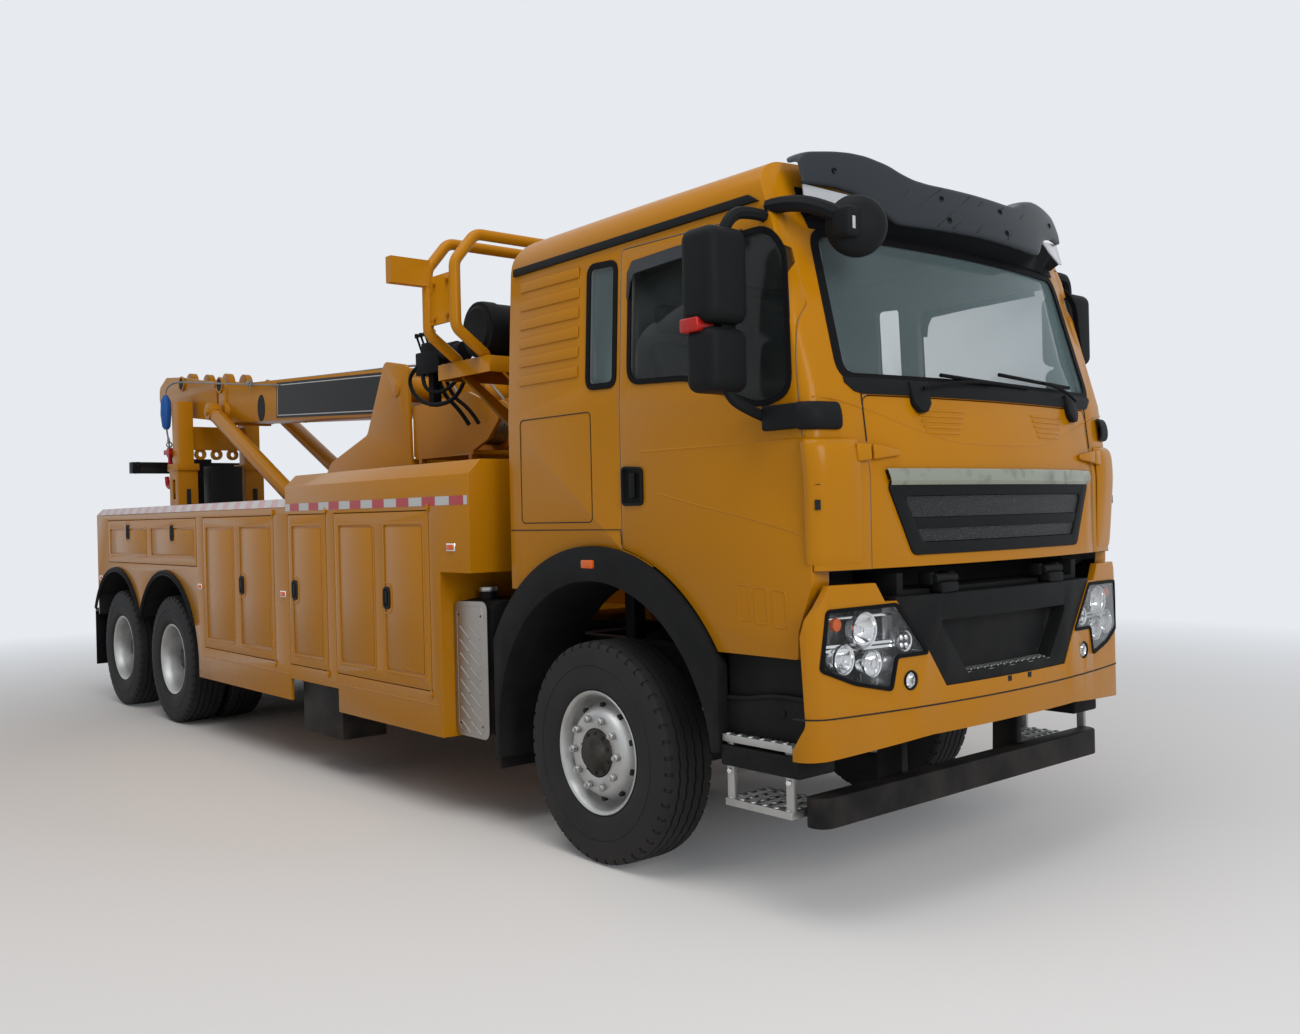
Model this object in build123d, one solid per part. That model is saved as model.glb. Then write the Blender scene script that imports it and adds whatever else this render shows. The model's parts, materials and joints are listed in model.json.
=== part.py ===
from build123d import *
import os
from math import cos, hypot, radians, sin

# A heavy 6x4 tow truck with a hollow sleeper cab, lockers, a telescoping boom and a folded underlift.
# Millimetres. +X is forward, +Y is the driver's left, +Z is up. The model is built about a point on
# the ground under the front axle, and the save function moves it to the middle of its length.

# Overall
NOSE_X = 1560
TAIL_X = -8960
BODY_HALF_WIDTH = 1250
MID_X = (NOSE_X + TAIL_X) / 2
GAP = 6
SEAT_GAP = 0.3

# Wheels and axles
WHEELBASE = 5825
TANDEM_SPACING = 1350
TYRE_RADIUS = 540
TYRE_WIDTH = 300
BEAD_RADIUS = 286
FLANGE_RADIUS = 299
FRONT_TRACK_HALF = 1020
TWIN_OUTER_Y = 1070
TWIN_SPACING = 340
KINGPIN_Y = 800
KINGPIN_RADIUS = 32
KINGPIN_EYE_WALL = 12
STUB_RADIUS = 44
AXLE_TUBE_RADIUS = 70
HUB_RADIUS = 118
AXLE_Z = TYRE_RADIUS
REAR_AXLES = [-WHEELBASE, -WHEELBASE - TANDEM_SPACING]

# Chassis
RAIL_OUTER_Y = 430
RAIL_FLANGE = 80
RAIL_WALL = 9
RAIL_BOTTOM_Z = 700
RAIL_TOP_Z = 990
RAIL_FRONT_X = 1230
RAIL_SIDE_Y = RAIL_OUTER_Y + SEAT_GAP

# Cab
CAB_REAR_X = -720
CAB_HALF_WIDTH = 1135
CAB_ROOF_HALF_WIDTH = 1088
CAB_ROOF_Z = 3165
CAB_SHOULDER_Z = 2200
CAB_SHOULDER_RADIUS = 150
CAB_SWEEP = 125
CAB_CORNER_RADIUS = 75
CAB_WALL = 45
CAB_FLOOR_Z = 1590
CAB_BOTTOM_Z = 1310
CAB_SKIRT_Z = 1085
FRONT_PANEL_BOTTOM_Z = 1447
ARCH_INNER_RADIUS = 830
ARCH_OUTER_RADIUS = 1000
WINDSCREEN_BOTTOM_Z = 2215
WINDSCREEN_TOP_Z = 2860
GLASS_THICKNESS = 6
GLASS_INSET = 8
FLAP_HALF_WIDTH = 862
FLAP_TOP_Z = 2150
FLAP_THICKNESS = 26
DOOR_REAR_X = 210
DOOR_HINGE_X = 1400

# Lockers
LOCKER_INNER_Y = 555
LOCKER_REAR_X = -7760
LOCKER_STEP_X = -3330
LOCKER_FRONT_X = -950
LOCKER_TOE_X = -1270
LOCKER_BOTTOM_Z = 460
LOCKER_TOP_Z = 1850
LOCKER_STEP_TOP_Z = 2010
LOCKER_WALL = 25
JAMB = 30
DECK_Z = 1062
DECK_THICKNESS = 40
REAR_ARCH_RADIUS = 760

# Boom
BOOM_PIVOT = (-3150, 2630)
BOOM_RISE = 3.3
BOOM_HALF_WIDTH = 215
BOOM_TOP_W = 195
BOOM_BOTTOM_W = -172
BOOM_WALL = 14
BOOM_OUTER_LENGTH = 4060
BOOM_CLEARANCE = 6
BOOM_PIN_RADIUS = 55
MAST_PLATE_Y = 440
MAST_PLATE = 28
CYLINDER_Y = 345
CYLINDER_BASE = (-4750, 1660)
CYLINDER_EYE = (-7070, 2785)
CYLINDER_RADIUS = 72
CYLINDER_ROD_RADIUS = 48

# Underlift
COLUMN_Y = 350
COLUMN_WIDTH = 200
COLUMN_FRONT_X = -7790
COLUMN_REAR_X = -8050
RAIL_REAR_X = COLUMN_FRONT_X + SEAT_GAP
COLUMN_TOP_Z = 2300
POST_TOP_Z = 2950
STINGER_HALF_WIDTH = 130
STINGER_TOP_Z = 2200
CROSSBAR_Z = 2305
CROSSBAR_X = -8700
CROSSBAR_HALF_LENGTH = 635


def outline(corners):
    """A closed face from (u, v) corners; a third value is that corner's radius."""
    points = [corner[:2] for corner in corners]
    radii = [corner[2] if len(corner) > 2 else 0 for corner in corners]
    return make_face(FilletPolyline(*points, radius=radii, close=True))


def along_y(corners, low_y, high_y):
    """A side outline of (x, z) corners, solid from low_y to high_y."""
    return extrude(Plane.XZ.offset(-high_y) * outline(corners), high_y - low_y)


def along_x(corners, low_x, high_x):
    """A front outline of (y, z) corners, solid from low_x to high_x."""
    return extrude(Plane.YZ.offset(low_x) * outline(corners), high_x - low_x)


def along_z(corners, low_z, high_z):
    """A plan outline of (x, y) corners, solid from low_z to high_z."""
    return extrude(Plane.XY.offset(low_z) * outline(corners), high_z - low_z)


def block(low_x, high_x, low_y, high_y, low_z, high_z):
    centre = ((low_x + high_x) / 2, (low_y + high_y) / 2, (low_z + high_z) / 2)
    return Pos(*centre) * Box(high_x - low_x, high_y - low_y, high_z - low_z)


def drum_y(x, z, low_y, high_y, radius):
    """A cylinder about an axis along Y."""
    return Pos(x, (low_y + high_y) / 2, z) * Rot(90, 0, 0) * Cylinder(radius, high_y - low_y)


def bar(start, end, radius):
    """A round bar between two points."""
    line = Line(start, end)
    return extrude(Plane(origin=start, z_dir=line % 0) * Circle(radius), line.length)


def mirrored_corners(corners):
    return [(-corner[0], *corner[1:]) for corner in reversed(corners)]


def other_side(shape):
    return mirror(shape, Plane.XZ)


def both_sides(shape):
    return shape + other_side(shape)


def save(name, *shapes):
    solids = [Pos(-MID_X, 0, 0) * solid for shape in shapes for solid in shape.solids()]
    export_step(Compound(solids), f"parts/{name}.step")


def nose_section(height, nose, half_width, rear, sweep, corner, inset):
    """A plan outline with a curved front, drawn in by inset."""
    corner_x = nose - sweep - inset
    side_y = half_width - inset
    front = ThreePointArc((corner_x, -side_y), (nose - inset, 0), (corner_x, side_y))
    rest = Polyline((corner_x, side_y), (rear + inset, side_y), (rear + inset, -side_y), (corner_x, -side_y))
    face = make_face([front, rest])
    face = fillet(face.vertices().group_by(Axis.X)[-1], corner - inset / 2)
    return Pos(0, 0, height) * face


# Height and the x of the nose on the centreline, from the skirts to the roof
CAB_NOSE = [
    (CAB_SKIRT_Z, 1535), (FRONT_PANEL_BOTTOM_Z, 1548), (1830, 1550), (2190, 1508), (2870, 1315),
    (CAB_ROOF_Z, 1190),
]


def cab_form(inset):
    """The cab's closed outer form, drawn in by inset."""
    sections = [nose_section(z, nose, CAB_HALF_WIDTH + 5, CAB_REAR_X, CAB_SWEEP, CAB_CORNER_RADIUS, inset)
                for z, nose in CAB_NOSE]
    front_view = [
        (CAB_HALF_WIDTH - inset, 900), (CAB_HALF_WIDTH - inset, CAB_SHOULDER_Z),
        (CAB_ROOF_HALF_WIDTH - inset, CAB_ROOF_Z - inset, CAB_SHOULDER_RADIUS - inset),
    ]
    front_view += mirrored_corners(front_view)
    side_view = [
        (CAB_REAR_X + inset, 900), (CAB_REAR_X + inset, CAB_ROOF_Z - 45 - inset, 160 - inset),
        (900, CAB_ROOF_Z - inset), (1700, CAB_ROOF_Z - inset), (1700, 900),
    ]
    return (loft(sections, ruled=True) & along_x(front_view, -1000, 1800)
            & along_y(side_view, -1300, 1300))


def cab_skin(outer_inset, inner_inset):
    return cab_form(outer_inset) - cab_form(inner_inset)


# The driver's door and its window in side view
ARCH_CUT = ARCH_OUTER_RADIUS + GAP
DOOR_OUTLINE = [
    (DOOR_REAR_X, 2940, 30), (1195, 2925, 40), (1282, 2820, 60), (DOOR_HINGE_X, 1600, 300),
    (DOOR_HINGE_X, 1395, 60),
    (1322, 1200, 100), (1317, CAB_SKIRT_Z, 20), (820, CAB_SKIRT_Z), (DOOR_REAR_X, 1400),
]
WINDOW_OUTLINE = [(290, 2310, 30), (290, 2840, 40), (1160, 2850, 50), (1255, 2750, 80), (1295, 2170, 60),
                  (1130, 2130, 120),
                  (700, 2290, 300)]
QUARTER_OUTLINE = [(-20, 2320, 35), (-20, 2885, 35), (165, 2875, 35), (165, 2315, 35)]


def front_arch_cut(radius):
    return drum_y(0, AXLE_Z, -1400, 1400, radius)


def door_panel(shrink):
    """The right door's solid outline through the side, drawn in by shrink."""
    face = offset(outline(DOOR_OUTLINE), -shrink) if shrink else outline(DOOR_OUTLINE)
    prism = extrude(Plane.XZ.offset(1035) * face, 300)
    return prism - front_arch_cut(ARCH_CUT + shrink)


def windscreen_cut():
    half = [(960, WINDSCREEN_BOTTOM_Z, 90), (925, WINDSCREEN_TOP_Z, 70)]
    return along_x(half + mirrored_corners(half), 900, 1800)


def window_cut(corners):
    return along_y(corners, -1400, -1040)


def flap_cut(grow, inset):
    """The front flap's solid, its outline grown by grow and as deep as inset."""
    corners = [
        (FLAP_HALF_WIDTH + grow, FRONT_PANEL_BOTTOM_Z - 100), (FLAP_HALF_WIDTH + grow, FLAP_TOP_Z + grow, 40),
        (-FLAP_HALF_WIDTH - grow, FLAP_TOP_Z + grow, 40),
        (-FLAP_HALF_WIDTH - grow, FRONT_PANEL_BOTTOM_Z - 100),
    ]
    return along_x(corners, 1100, 1800) & cab_skin(-10, inset)


# The door's hinge pads fill its front gap, just inside the hinge line
HINGE_PAD_Y = (5 - CAB_HALF_WIDTH, 35 - CAB_HALF_WIDTH)
HINGE_PAD_Z = (1480, 1960)


def cab_shell():
    cavity = cab_form(CAB_WALL) & block(CAB_REAR_X, 1700, -1300, 1300, CAB_FLOOR_Z, 3300)
    cavity -= block(1360, 1700, -1300, 1300, 1000, WINDSCREEN_BOTTOM_Z - 25)
    under = block(CAB_REAR_X - 10, 1360, CAB_WALL - CAB_HALF_WIDTH, CAB_HALF_WIDTH - CAB_WALL, 900,
                  CAB_FLOOR_Z - CAB_WALL)
    shell = cab_form(0) - cavity - under - front_arch_cut(ARCH_OUTER_RADIUS)
    shell -= block(-2000, 0, -1300, 1300, 900, CAB_BOTTOM_Z)
    shell -= block(0, 2000, -1300, 1300, 900, FRONT_PANEL_BOTTOM_Z)
    shell -= both_sides(door_panel(0))
    shell -= windscreen_cut()
    shell -= both_sides(window_cut(QUARTER_OUTLINE))
    shell -= flap_cut(GAP, FLAP_THICKNESS + GAP)
    gap_ring = door_panel(0) - door_panel(GAP - SEAT_GAP)
    for low_z in HINGE_PAD_Z:
        pad = block(1300, DOOR_HINGE_X + 1, HINGE_PAD_Y[0], HINGE_PAD_Y[1], low_z, low_z + 60)
        shell += both_sides(gap_ring & pad & cab_form(4))
    pads = block(1300, 1800, 600, 700, 2080, 2130) & cab_skin(FLAP_THICKNESS + SEAT_GAP,
                                                              FLAP_THICKNESS + GAP + 1)
    return shell + both_sides(pads)


def front_flap():
    grille_opening = along_x(grille_corners(0), 1300, 1800)
    return (flap_cut(0, FLAP_THICKNESS) & cab_form(0)) - block(0, 2000, -1300, 1300, 900,
                                                               FRONT_PANEL_BOTTOM_Z) - grille_opening


def grille_corners(grow):
    half = [(640 + grow, 1494 - grow, 40), (787 + grow, 1805 + grow, 30)]
    return half + mirrored_corners(half)


GRILLE_BARS = 4


def upper_grille():
    """The black grille in the flap: a frame, a recessed floor and a row of bars."""
    frame = along_x(grille_corners(0), 1300, 1800) & cab_skin(-8, FLAP_THICKNESS)
    hollow = [(585, 1545, 20), (690, 1740, 20), (-690, 1740, 20), (-585, 1545, 20)]
    frame -= along_x(hollow, 1300, 1800) & cab_skin(-20, FLAP_THICKNESS - 10)
    for i in range(GRILLE_BARS):
        z = 1545 + (i + 0.5) * 195 / GRILLE_BARS
        bars = block(1300, 1800, -690, 690, z - 10, z + 10) & along_x(hollow, 1300, 1800)
        frame += bars & cab_skin(0, FLAP_THICKNESS - 9)
    return frame


def chrome_strip():
    half = [(770, 1808), (790, 1850, 12)]
    corners = half + mirrored_corners(half)
    return along_x(corners, 1300, 1800) & cab_skin(-14, 0)


def door_right():
    door = cab_skin(0, CAB_WALL) & door_panel(GAP)
    door = door & block(0, DOOR_HINGE_X - GAP, -1300, 0, 900, 3300)
    return door - window_cut(WINDOW_OUTLINE)


def side_glass(corners):
    return cab_skin(GLASS_INSET, GLASS_INSET + GLASS_THICKNESS) & window_cut(corners)


def cab_glass():
    screen = cab_skin(GLASS_INSET, GLASS_INSET + GLASS_THICKNESS) & windscreen_cut()
    return [screen & block(900, 1800, -1300, 1300, 2000, 3000), both_sides(side_glass(QUARTER_OUTLINE))]


# Bumper, lamps and beam
BUMPER_HALF_WIDTH = 1195
BUMPER_NOSE_X = NOSE_X
BUMPER_WALL = 30
BUMPER_TOP_Z = 1391
BUMPER_SIDE = [
    (1325, 650), (1325, 735), (1386, 835, 60), (1370, 1190), (1400, 1300), (1420, BUMPER_TOP_Z),
    (1800, BUMPER_TOP_Z), (1800, 650),
]
LOWER_OPENING = [(468, 936), (566, 1083), (752, 1312)]
BUMPER_HALF_FRONT = [
    (0, 745), (560, 742), (BUMPER_HALF_WIDTH, 695), (BUMPER_HALF_WIDTH, 1240, 30), (1140, 1313, 15),
    (1096, BUMPER_TOP_Z - 1, 8), (865, BUMPER_TOP_Z - 1, 8), (816, 1312),
    *reversed(LOWER_OPENING), (0, LOWER_OPENING[0][1]),
]
HEADLAMP_CORNERS = [
    (1112, 1291, 20), (1140, 1056, 18), (980, 992, 400), (790, 951, 12), (757, 1083, 35), (578, 1085, 12),
    (752, 1299, 12),
]
FOG_LAMP = (680, 980, 42)


def bumper_form(inset):
    section = nose_section(600, BUMPER_NOSE_X, BUMPER_HALF_WIDTH, 0, 130, 120, inset)
    return extrude(section, 900)


def headlamp_cut(shrink):
    face = offset(outline(HEADLAMP_CORNERS), -shrink) if shrink else outline(HEADLAMP_CORNERS)
    return extrude(Plane.YZ.offset(1000) * face, 800)


def bumper():
    left = BUMPER_HALF_FRONT
    corners = left + mirrored_corners(left[1:-1])
    front = (bumper_form(0) - bumper_form(BUMPER_WALL)) & along_x(corners, 1000, 1800)
    skin = front & along_y(BUMPER_SIDE, -1300, 1300)
    lamps = headlamp_cut(0) + Pos(1400, FOG_LAMP[0], FOG_LAMP[1]) * Rot(0, 90, 0) * Cylinder(FOG_LAMP[2], 500)
    return skin - both_sides(lamps)


def headlamps():
    lamp = (bumper_form(3) - bumper_form(70)) & headlamp_cut(SEAT_GAP) & along_y(BUMPER_SIDE, -1300, 1300)
    fog = Pos(1420, FOG_LAMP[0], FOG_LAMP[1]) * Rot(0, 90, 0) * Cylinder(FOG_LAMP[2] - SEAT_GAP, 500)
    return both_sides(lamp + (fog & (bumper_form(8) - bumper_form(60))))


def lower_grille():
    """The black step panel between the headlamps, with its sunk mesh and tread lip."""
    low, middle, high = [(y - SEAT_GAP, z) for y, z in LOWER_OPENING]
    low_z = low[1] + SEAT_GAP
    half = [(0, low_z), (low[0], low_z), middle, high, (high[0], 1325), (0, 1325)]
    corners = half + mirrored_corners(half[1:-1])
    frame = (bumper_form(4) - bumper_form(90)) & along_x(corners, 1000, 1800)
    half = [(330, 985), (500, 1215, 15)]
    window = along_x(half + mirrored_corners(half), 1000, 1800)
    return frame - (window & (bumper_form(-10) - bumper_form(70)))


def tow_beam():
    """The black plate and towing eyes behind the gap over the lower grille."""
    shelf = block(1240, 1470, -700, 700, 1326, 1420) - block(1260, 1480, -660, 660, 1346, 1430)
    return shelf


UNDERRUN = dict(front=1375, rear=1275, low=402, high=530, half=1075)


def underrun_beam():
    u = UNDERRUN
    plan = [(u["front"], -u["half"], 70), (u["front"], u["half"], 70), (u["rear"], u["half"], 20),
            (u["rear"], -u["half"], 20)]
    beam = along_z(plan, u["low"], u["high"])
    for y in (-400, 400):
        beam += along_y([(RAIL_FRONT_X - 60, RAIL_TOP_Z), (RAIL_FRONT_X + 60, RAIL_TOP_Z),
                         (u["rear"] + 30, u["high"] - 60),
                         (u["rear"] - 120, u["high"] - 60)], y + 30.3 if y > 0 else y - 70,
                         y + 70 if y > 0 else y - 30.3)
    return beam


def steps():
    """Two treads each side on their hangers."""
    upper = block(880, 1280, -1150, -900, 715, 745)
    for i in range(5):
        upper -= block(910 + 72 * i, 950 + 72 * i, -1125, -925, 700, 760)
    lower = block(880, 1260, -1140, -880, 440, 470)
    for i in range(5):
        lower -= block(905 + 72 * i, 945 + 72 * i, -1115, -905, 430, 480)
    side = upper + lower
    for x in (885, 1225):
        side += along_y([(x, 470), (x + 40, 470), (x + 40, 716), (x, 716)], -1130, -1110)
    side += block(900, 1140, -900, -RAIL_SIDE_Y, 725, 745) + block(1060, 1120, -900, -RAIL_SIDE_Y, 700, 726)
    return both_sides(side)


def rail():
    outer = block(RAIL_REAR_X, RAIL_FRONT_X, -RAIL_OUTER_Y, -RAIL_OUTER_Y + RAIL_FLANGE, RAIL_BOTTOM_Z,
                  RAIL_TOP_Z)
    inner = block(RAIL_REAR_X - 1, RAIL_FRONT_X + 1, -RAIL_OUTER_Y + RAIL_WALL,
                  -RAIL_OUTER_Y + RAIL_FLANGE + 1,
                  RAIL_BOTTOM_Z + RAIL_WALL, RAIL_TOP_Z - RAIL_WALL)
    return outer - inner


CAB_MOUNT_X = [-600, 1100]
CROSSMEMBER_X = [1180, -1500, -3000, -4400, -5150, -6500, -7600]


def chassis_frame():
    frame = both_sides(rail())
    for x in CROSSMEMBER_X:
        frame += block(x - 60, x + 60, -RAIL_OUTER_Y + RAIL_WALL - 1, RAIL_OUTER_Y - RAIL_WALL + 1, 790, 940)
    inner = RAIL_OUTER_Y - RAIL_FLANGE
    for x in CAB_MOUNT_X:
        frame += both_sides(block(x - 40, x + 40, inner, RAIL_OUTER_Y, RAIL_TOP_Z,
                                  CAB_FLOOR_Z - CAB_WALL - SEAT_GAP))
    arm = block(RAIL_FRONT_X - 1, 1600, inner, RAIL_OUTER_Y, 780, 900) & bumper_form(BUMPER_WALL + SEAT_GAP)
    return frame + both_sides(arm)


GEARBOX_REAR_X = -1200


def engine_block():
    block_side = [(-420, 800, 60), (-330, 640, 40), (780, 640, 40), (850, 760, 40), (850, 1400, 60),
                  (-100, 1480, 60),
                  (-420, 1300, 60)]
    gearbox = [(GEARBOX_REAR_X, 640, 60), (-400, 620), (-400, 1080), (GEARBOX_REAR_X, 860, 60)]
    mounts = block(100, 180, 319, RAIL_OUTER_Y - RAIL_WALL - SEAT_GAP, 780, 840)
    return along_y(block_side, -320, 320) + along_y(gearbox, -190, 190) + both_sides(mounts)


def leaf_pack(centre_x, half_length, low_y, high_y, eye_z, dip, thickness):
    """A leaf spring as one curved bar of even thickness, on its back."""
    upper = ThreePointArc((centre_x - half_length, eye_z), (centre_x, eye_z - dip),
                          (centre_x + half_length, eye_z))
    lower = ThreePointArc((centre_x - half_length, eye_z - thickness),
                          (centre_x, eye_z - dip - thickness * 1.6),
                          (centre_x + half_length, eye_z - thickness))
    ends = [Line(upper @ 0, lower @ 0), Line(upper @ 1, lower @ 1)]
    return extrude(Plane.XZ.offset(-high_y) * make_face([upper, lower] + ends), high_y - low_y)


def front_axle():
    """A dropped beam with its springs; the kingpin eyes are at its ends."""
    half = [(KINGPIN_Y - 45, 600), (KINGPIN_Y - 45, 480), (640, 480, 60), (520, 400, 60), (0, 400), ]
    lower = half + mirrored_corners(half[:-1])
    top = [(-640, 600, 60), (-520, 500, 60), (520, 500, 60), (640, 600, 60)]
    beam = along_x(lower + top, -55, 55)
    side = leaf_pack(0, 760, 360, 440, 660, 40, 45) + block(-110, 110, 355, 445, 498, 600)
    for x in (-770, 770):
        side += along_y([(x - 50, 600, 20), (x + 50, 600, 20), (x + 50, 760), (x - 50, 760)], RAIL_SIDE_Y,
                        460)
        side += drum_y(x, 640, 355, 461, 26)
    side += Pos(0, KINGPIN_Y, AXLE_Z) * Cylinder(KINGPIN_RADIUS + KINGPIN_EYE_WALL, 120)
    return beam + both_sides(side) - both_sides(Pos(0, KINGPIN_Y,
                                                    AXLE_Z) * Cylinder(KINGPIN_RADIUS + SEAT_GAP, 200))


def knuckle_left():
    """The kingpin, the stub axle and its brake backing."""
    pin = Pos(0, KINGPIN_Y, AXLE_Z) * Cylinder(KINGPIN_RADIUS, 300)
    fork = block(-60, 60, KINGPIN_Y - 40, KINGPIN_Y + 90, 605,
                 690) + block(-60, 60, KINGPIN_Y - 40, KINGPIN_Y + 90, 390, 475)
    back = block(-60, 60, KINGPIN_Y + 50, KINGPIN_Y + 90, 390,
                 690) + drum_y(0, AXLE_Z, KINGPIN_Y + 70, KINGPIN_Y + 95, 195)
    stub = drum_y(0, AXLE_Z, KINGPIN_Y + 60, FRONT_TRACK_HALF + 60, STUB_RADIUS)
    return pin + fork + back + stub


def tyre(centre_y):
    """A tyre as a ring of revolution: bead, side wall, shoulder and tread."""
    half = TYRE_WIDTH / 2
    section = [
        (-half + 28, BEAD_RADIUS), (-half + 28, FLANGE_RADIUS + 2), (-half, BEAD_RADIUS + 75, 60),
        (-half, TYRE_RADIUS - 70, 60), (-half + 26, TYRE_RADIUS - 8),
        (half - 26, TYRE_RADIUS - 8), (half, TYRE_RADIUS - 70, 60), (half, BEAD_RADIUS + 75, 60),
        (half - 28, FLANGE_RADIUS + 2), (half - 28, BEAD_RADIUS),
    ]
    crown = [(-half + 40, TYRE_RADIUS), (half - 40, TYRE_RADIUS)]
    section = section[:5] + crown + section[5:]
    face = Plane(origin=(0, centre_y, AXLE_Z), x_dir=(0, 1, 0), z_dir=(1, 0, 0)) * outline(section)
    return revolve(face, Axis((0, centre_y, AXLE_Z), (0, 1, 0)))


def rim(centre_y, disc):
    """A rim's barrel with its disc, whose section is given by (offset along Y, radius) corners."""
    half = TYRE_WIDTH / 2 - 28 + SEAT_GAP
    barrel = [
        (-half - 6, BEAD_RADIUS - SEAT_GAP - 22), (-half - 6, FLANGE_RADIUS), (-half, FLANGE_RADIUS),
        (-half, BEAD_RADIUS - SEAT_GAP),
        (-60, 262), (60, 262), (half, BEAD_RADIUS - SEAT_GAP), (half, FLANGE_RADIUS),
        (half + 6, FLANGE_RADIUS),
        (half + 6, BEAD_RADIUS - SEAT_GAP - 22), (62, 246), (-62, 246),
    ]
    plane = Plane(origin=(0, centre_y, AXLE_Z), x_dir=(0, 1, 0), z_dir=(1, 0, 0))
    axis = Axis((0, centre_y, AXLE_Z), (0, 1, 0))
    ring = revolve(plane * make_face(Polyline(*barrel, close=True)), axis)
    plate = revolve(plane * make_face(Polyline(*disc, close=True)), axis)
    return ring + plate


def hand_holes(count, pitch_radius, low_y, high_y):
    return [Pos(0, 0, AXLE_Z) * Rot(0, 360 / count * (i + 0.5), 0) * Pos(0, 0, pitch_radius)
            * Rot(90, 0, 0) * Pos(0, 0,
                                  -(low_y + high_y) / 2) * Cylinder(26, high_y - low_y) for i in range(count)]


FRONT_DISC = [(20, 248), (115, 205), (132, 190), (132, HUB_RADIUS + 1), (120, HUB_RADIUS + 1), (120, 186),
              (104, 198), (8, 240)]
TWIN_DISC = [(-110, 264), (-160, 205), (-172, 190), (-172, HUB_RADIUS + 1), (-158, HUB_RADIUS + 1),
             (-158, 186), (-146, 198), (-94, 262)]


def front_rim():
    wheel = rim(FRONT_TRACK_HALF, FRONT_DISC)
    wheel -= hand_holes(10, 222, FRONT_TRACK_HALF, FRONT_TRACK_HALF + 170)
    hub = revolve(Plane(origin=(0, FRONT_TRACK_HALF, AXLE_Z), x_dir=(0, 1, 0),
                        z_dir=(1, 0, 0)) * make_face(Polyline(
        (-90, STUB_RADIUS + SEAT_GAP), (-90, 150), (60, 150), (60, HUB_RADIUS + 20), (122, HUB_RADIUS + 20),
        (122, 100), (150, 92), (175, 70), (185, 0),
        (62, 0), (62, STUB_RADIUS + SEAT_GAP), close=True)), Axis((0, FRONT_TRACK_HALF, AXLE_Z), (0, 1, 0)))
    return wheel + hub


def twin_rims():
    inner_y = TWIN_OUTER_Y - TWIN_SPACING
    outer = rim(TWIN_OUTER_Y, TWIN_DISC)
    inner = rim(inner_y, [(-c[0], c[1]) for c in TWIN_DISC])
    hub = revolve(Plane(origin=(0, TWIN_OUTER_Y, AXLE_Z), x_dir=(0, 1, 0),
                        z_dir=(1, 0, 0)) * make_face(Polyline(
        (-480, AXLE_TUBE_RADIUS + SEAT_GAP), (-480, 175), (-180, 175), (-180, HUB_RADIUS + 30),
        (-150, HUB_RADIUS + 2), (-150, HUB_RADIUS), (-60, 105), (-30, 60), (-30, 0),
        (-100, 0), (-100, AXLE_TUBE_RADIUS + SEAT_GAP), close=True)),
        Axis((0, TWIN_OUTER_Y, AXLE_Z), (0, 1, 0)))
    return outer + inner + hub


PINION_REACH = 270


def rear_axles():
    """Both drive axles with their banjo housings, the trunnion springs and the shaft to them."""
    axles = None
    for x in REAR_AXLES:
        tube = drum_y(x, AXLE_Z, -(TWIN_OUTER_Y - 110), TWIN_OUTER_Y - 110, AXLE_TUBE_RADIUS)
        tube += drum_y(x, AXLE_Z, -160, 160, 210) + drum_y(x, AXLE_Z, -570, -520,
                                                           90) + drum_y(x, AXLE_Z, 520, 570, 90)
        tube += Pos(x + PINION_REACH / 2, 0, AXLE_Z + 30) * Rot(0, 90, 0) * Cylinder(95, PINION_REACH)
        axles = tube if axles is None else axles + tube
    axles += bar((REAR_AXLES[0], 0, AXLE_Z + 30), (REAR_AXLES[1] + PINION_REACH, 0, AXLE_Z + 30), 45)
    middle = -WHEELBASE - TANDEM_SPACING / 2
    side = leaf_pack(middle, 640, 440, 530, 640, -60, 50)
    side += drum_y(middle, 640, RAIL_OUTER_Y + 2, 545, 90) + block(middle - 90, middle + 90, RAIL_SIDE_Y, 450,
                                                                   600, 860)
    axles += both_sides(side)
    axles += drum_y(middle, 640, -RAIL_OUTER_Y - 10, RAIL_OUTER_Y + 10, 55)
    return axles


def prop_shaft():
    return bar((GEARBOX_REAR_X - SEAT_GAP, 0, 700), (REAR_AXLES[0] + PINION_REACH + SEAT_GAP, 0, AXLE_Z + 30),
               55)


TANK_X = [LOCKER_TOE_X + 8, -930]


def fuel_tank():
    tank = along_x([(-1140, 470, 70), (-1140, 1230, 90), (-600, 1230, 60), (-600, 470, 60)], TANK_X[0],
                   TANK_X[1])
    cap = Pos(-1160, -1000, 1240) * Cylinder(50, 60)
    straps = block(-1240, -1200, -601, -RAIL_SIDE_Y, 700,
                   900) + block(-1030, -990, -601, -RAIL_SIDE_Y, 700, 900)
    return tank + cap + straps


def tank_cover():
    """The bright side plate over the tank, with its pressed diagonal ribs."""
    return along_y([(TANK_X[0], 475, 60), (TANK_X[0], 1225, 60), (-945, 1235, 60), (-945, 475, 60)], -1165,
                   -1140 - SEAT_GAP)


def battery_box():
    box = along_x([(1140, 500, 30), (1140, 1180, 30), (600, 1180, 30), (600, 500, 30)], TANK_X[0], TANK_X[1])
    return box + block(-1240, -1200, RAIL_SIDE_Y, 601, 700,
                       900) + block(-1030, -990, RAIL_SIDE_Y, 601, 700, 900)


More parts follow.
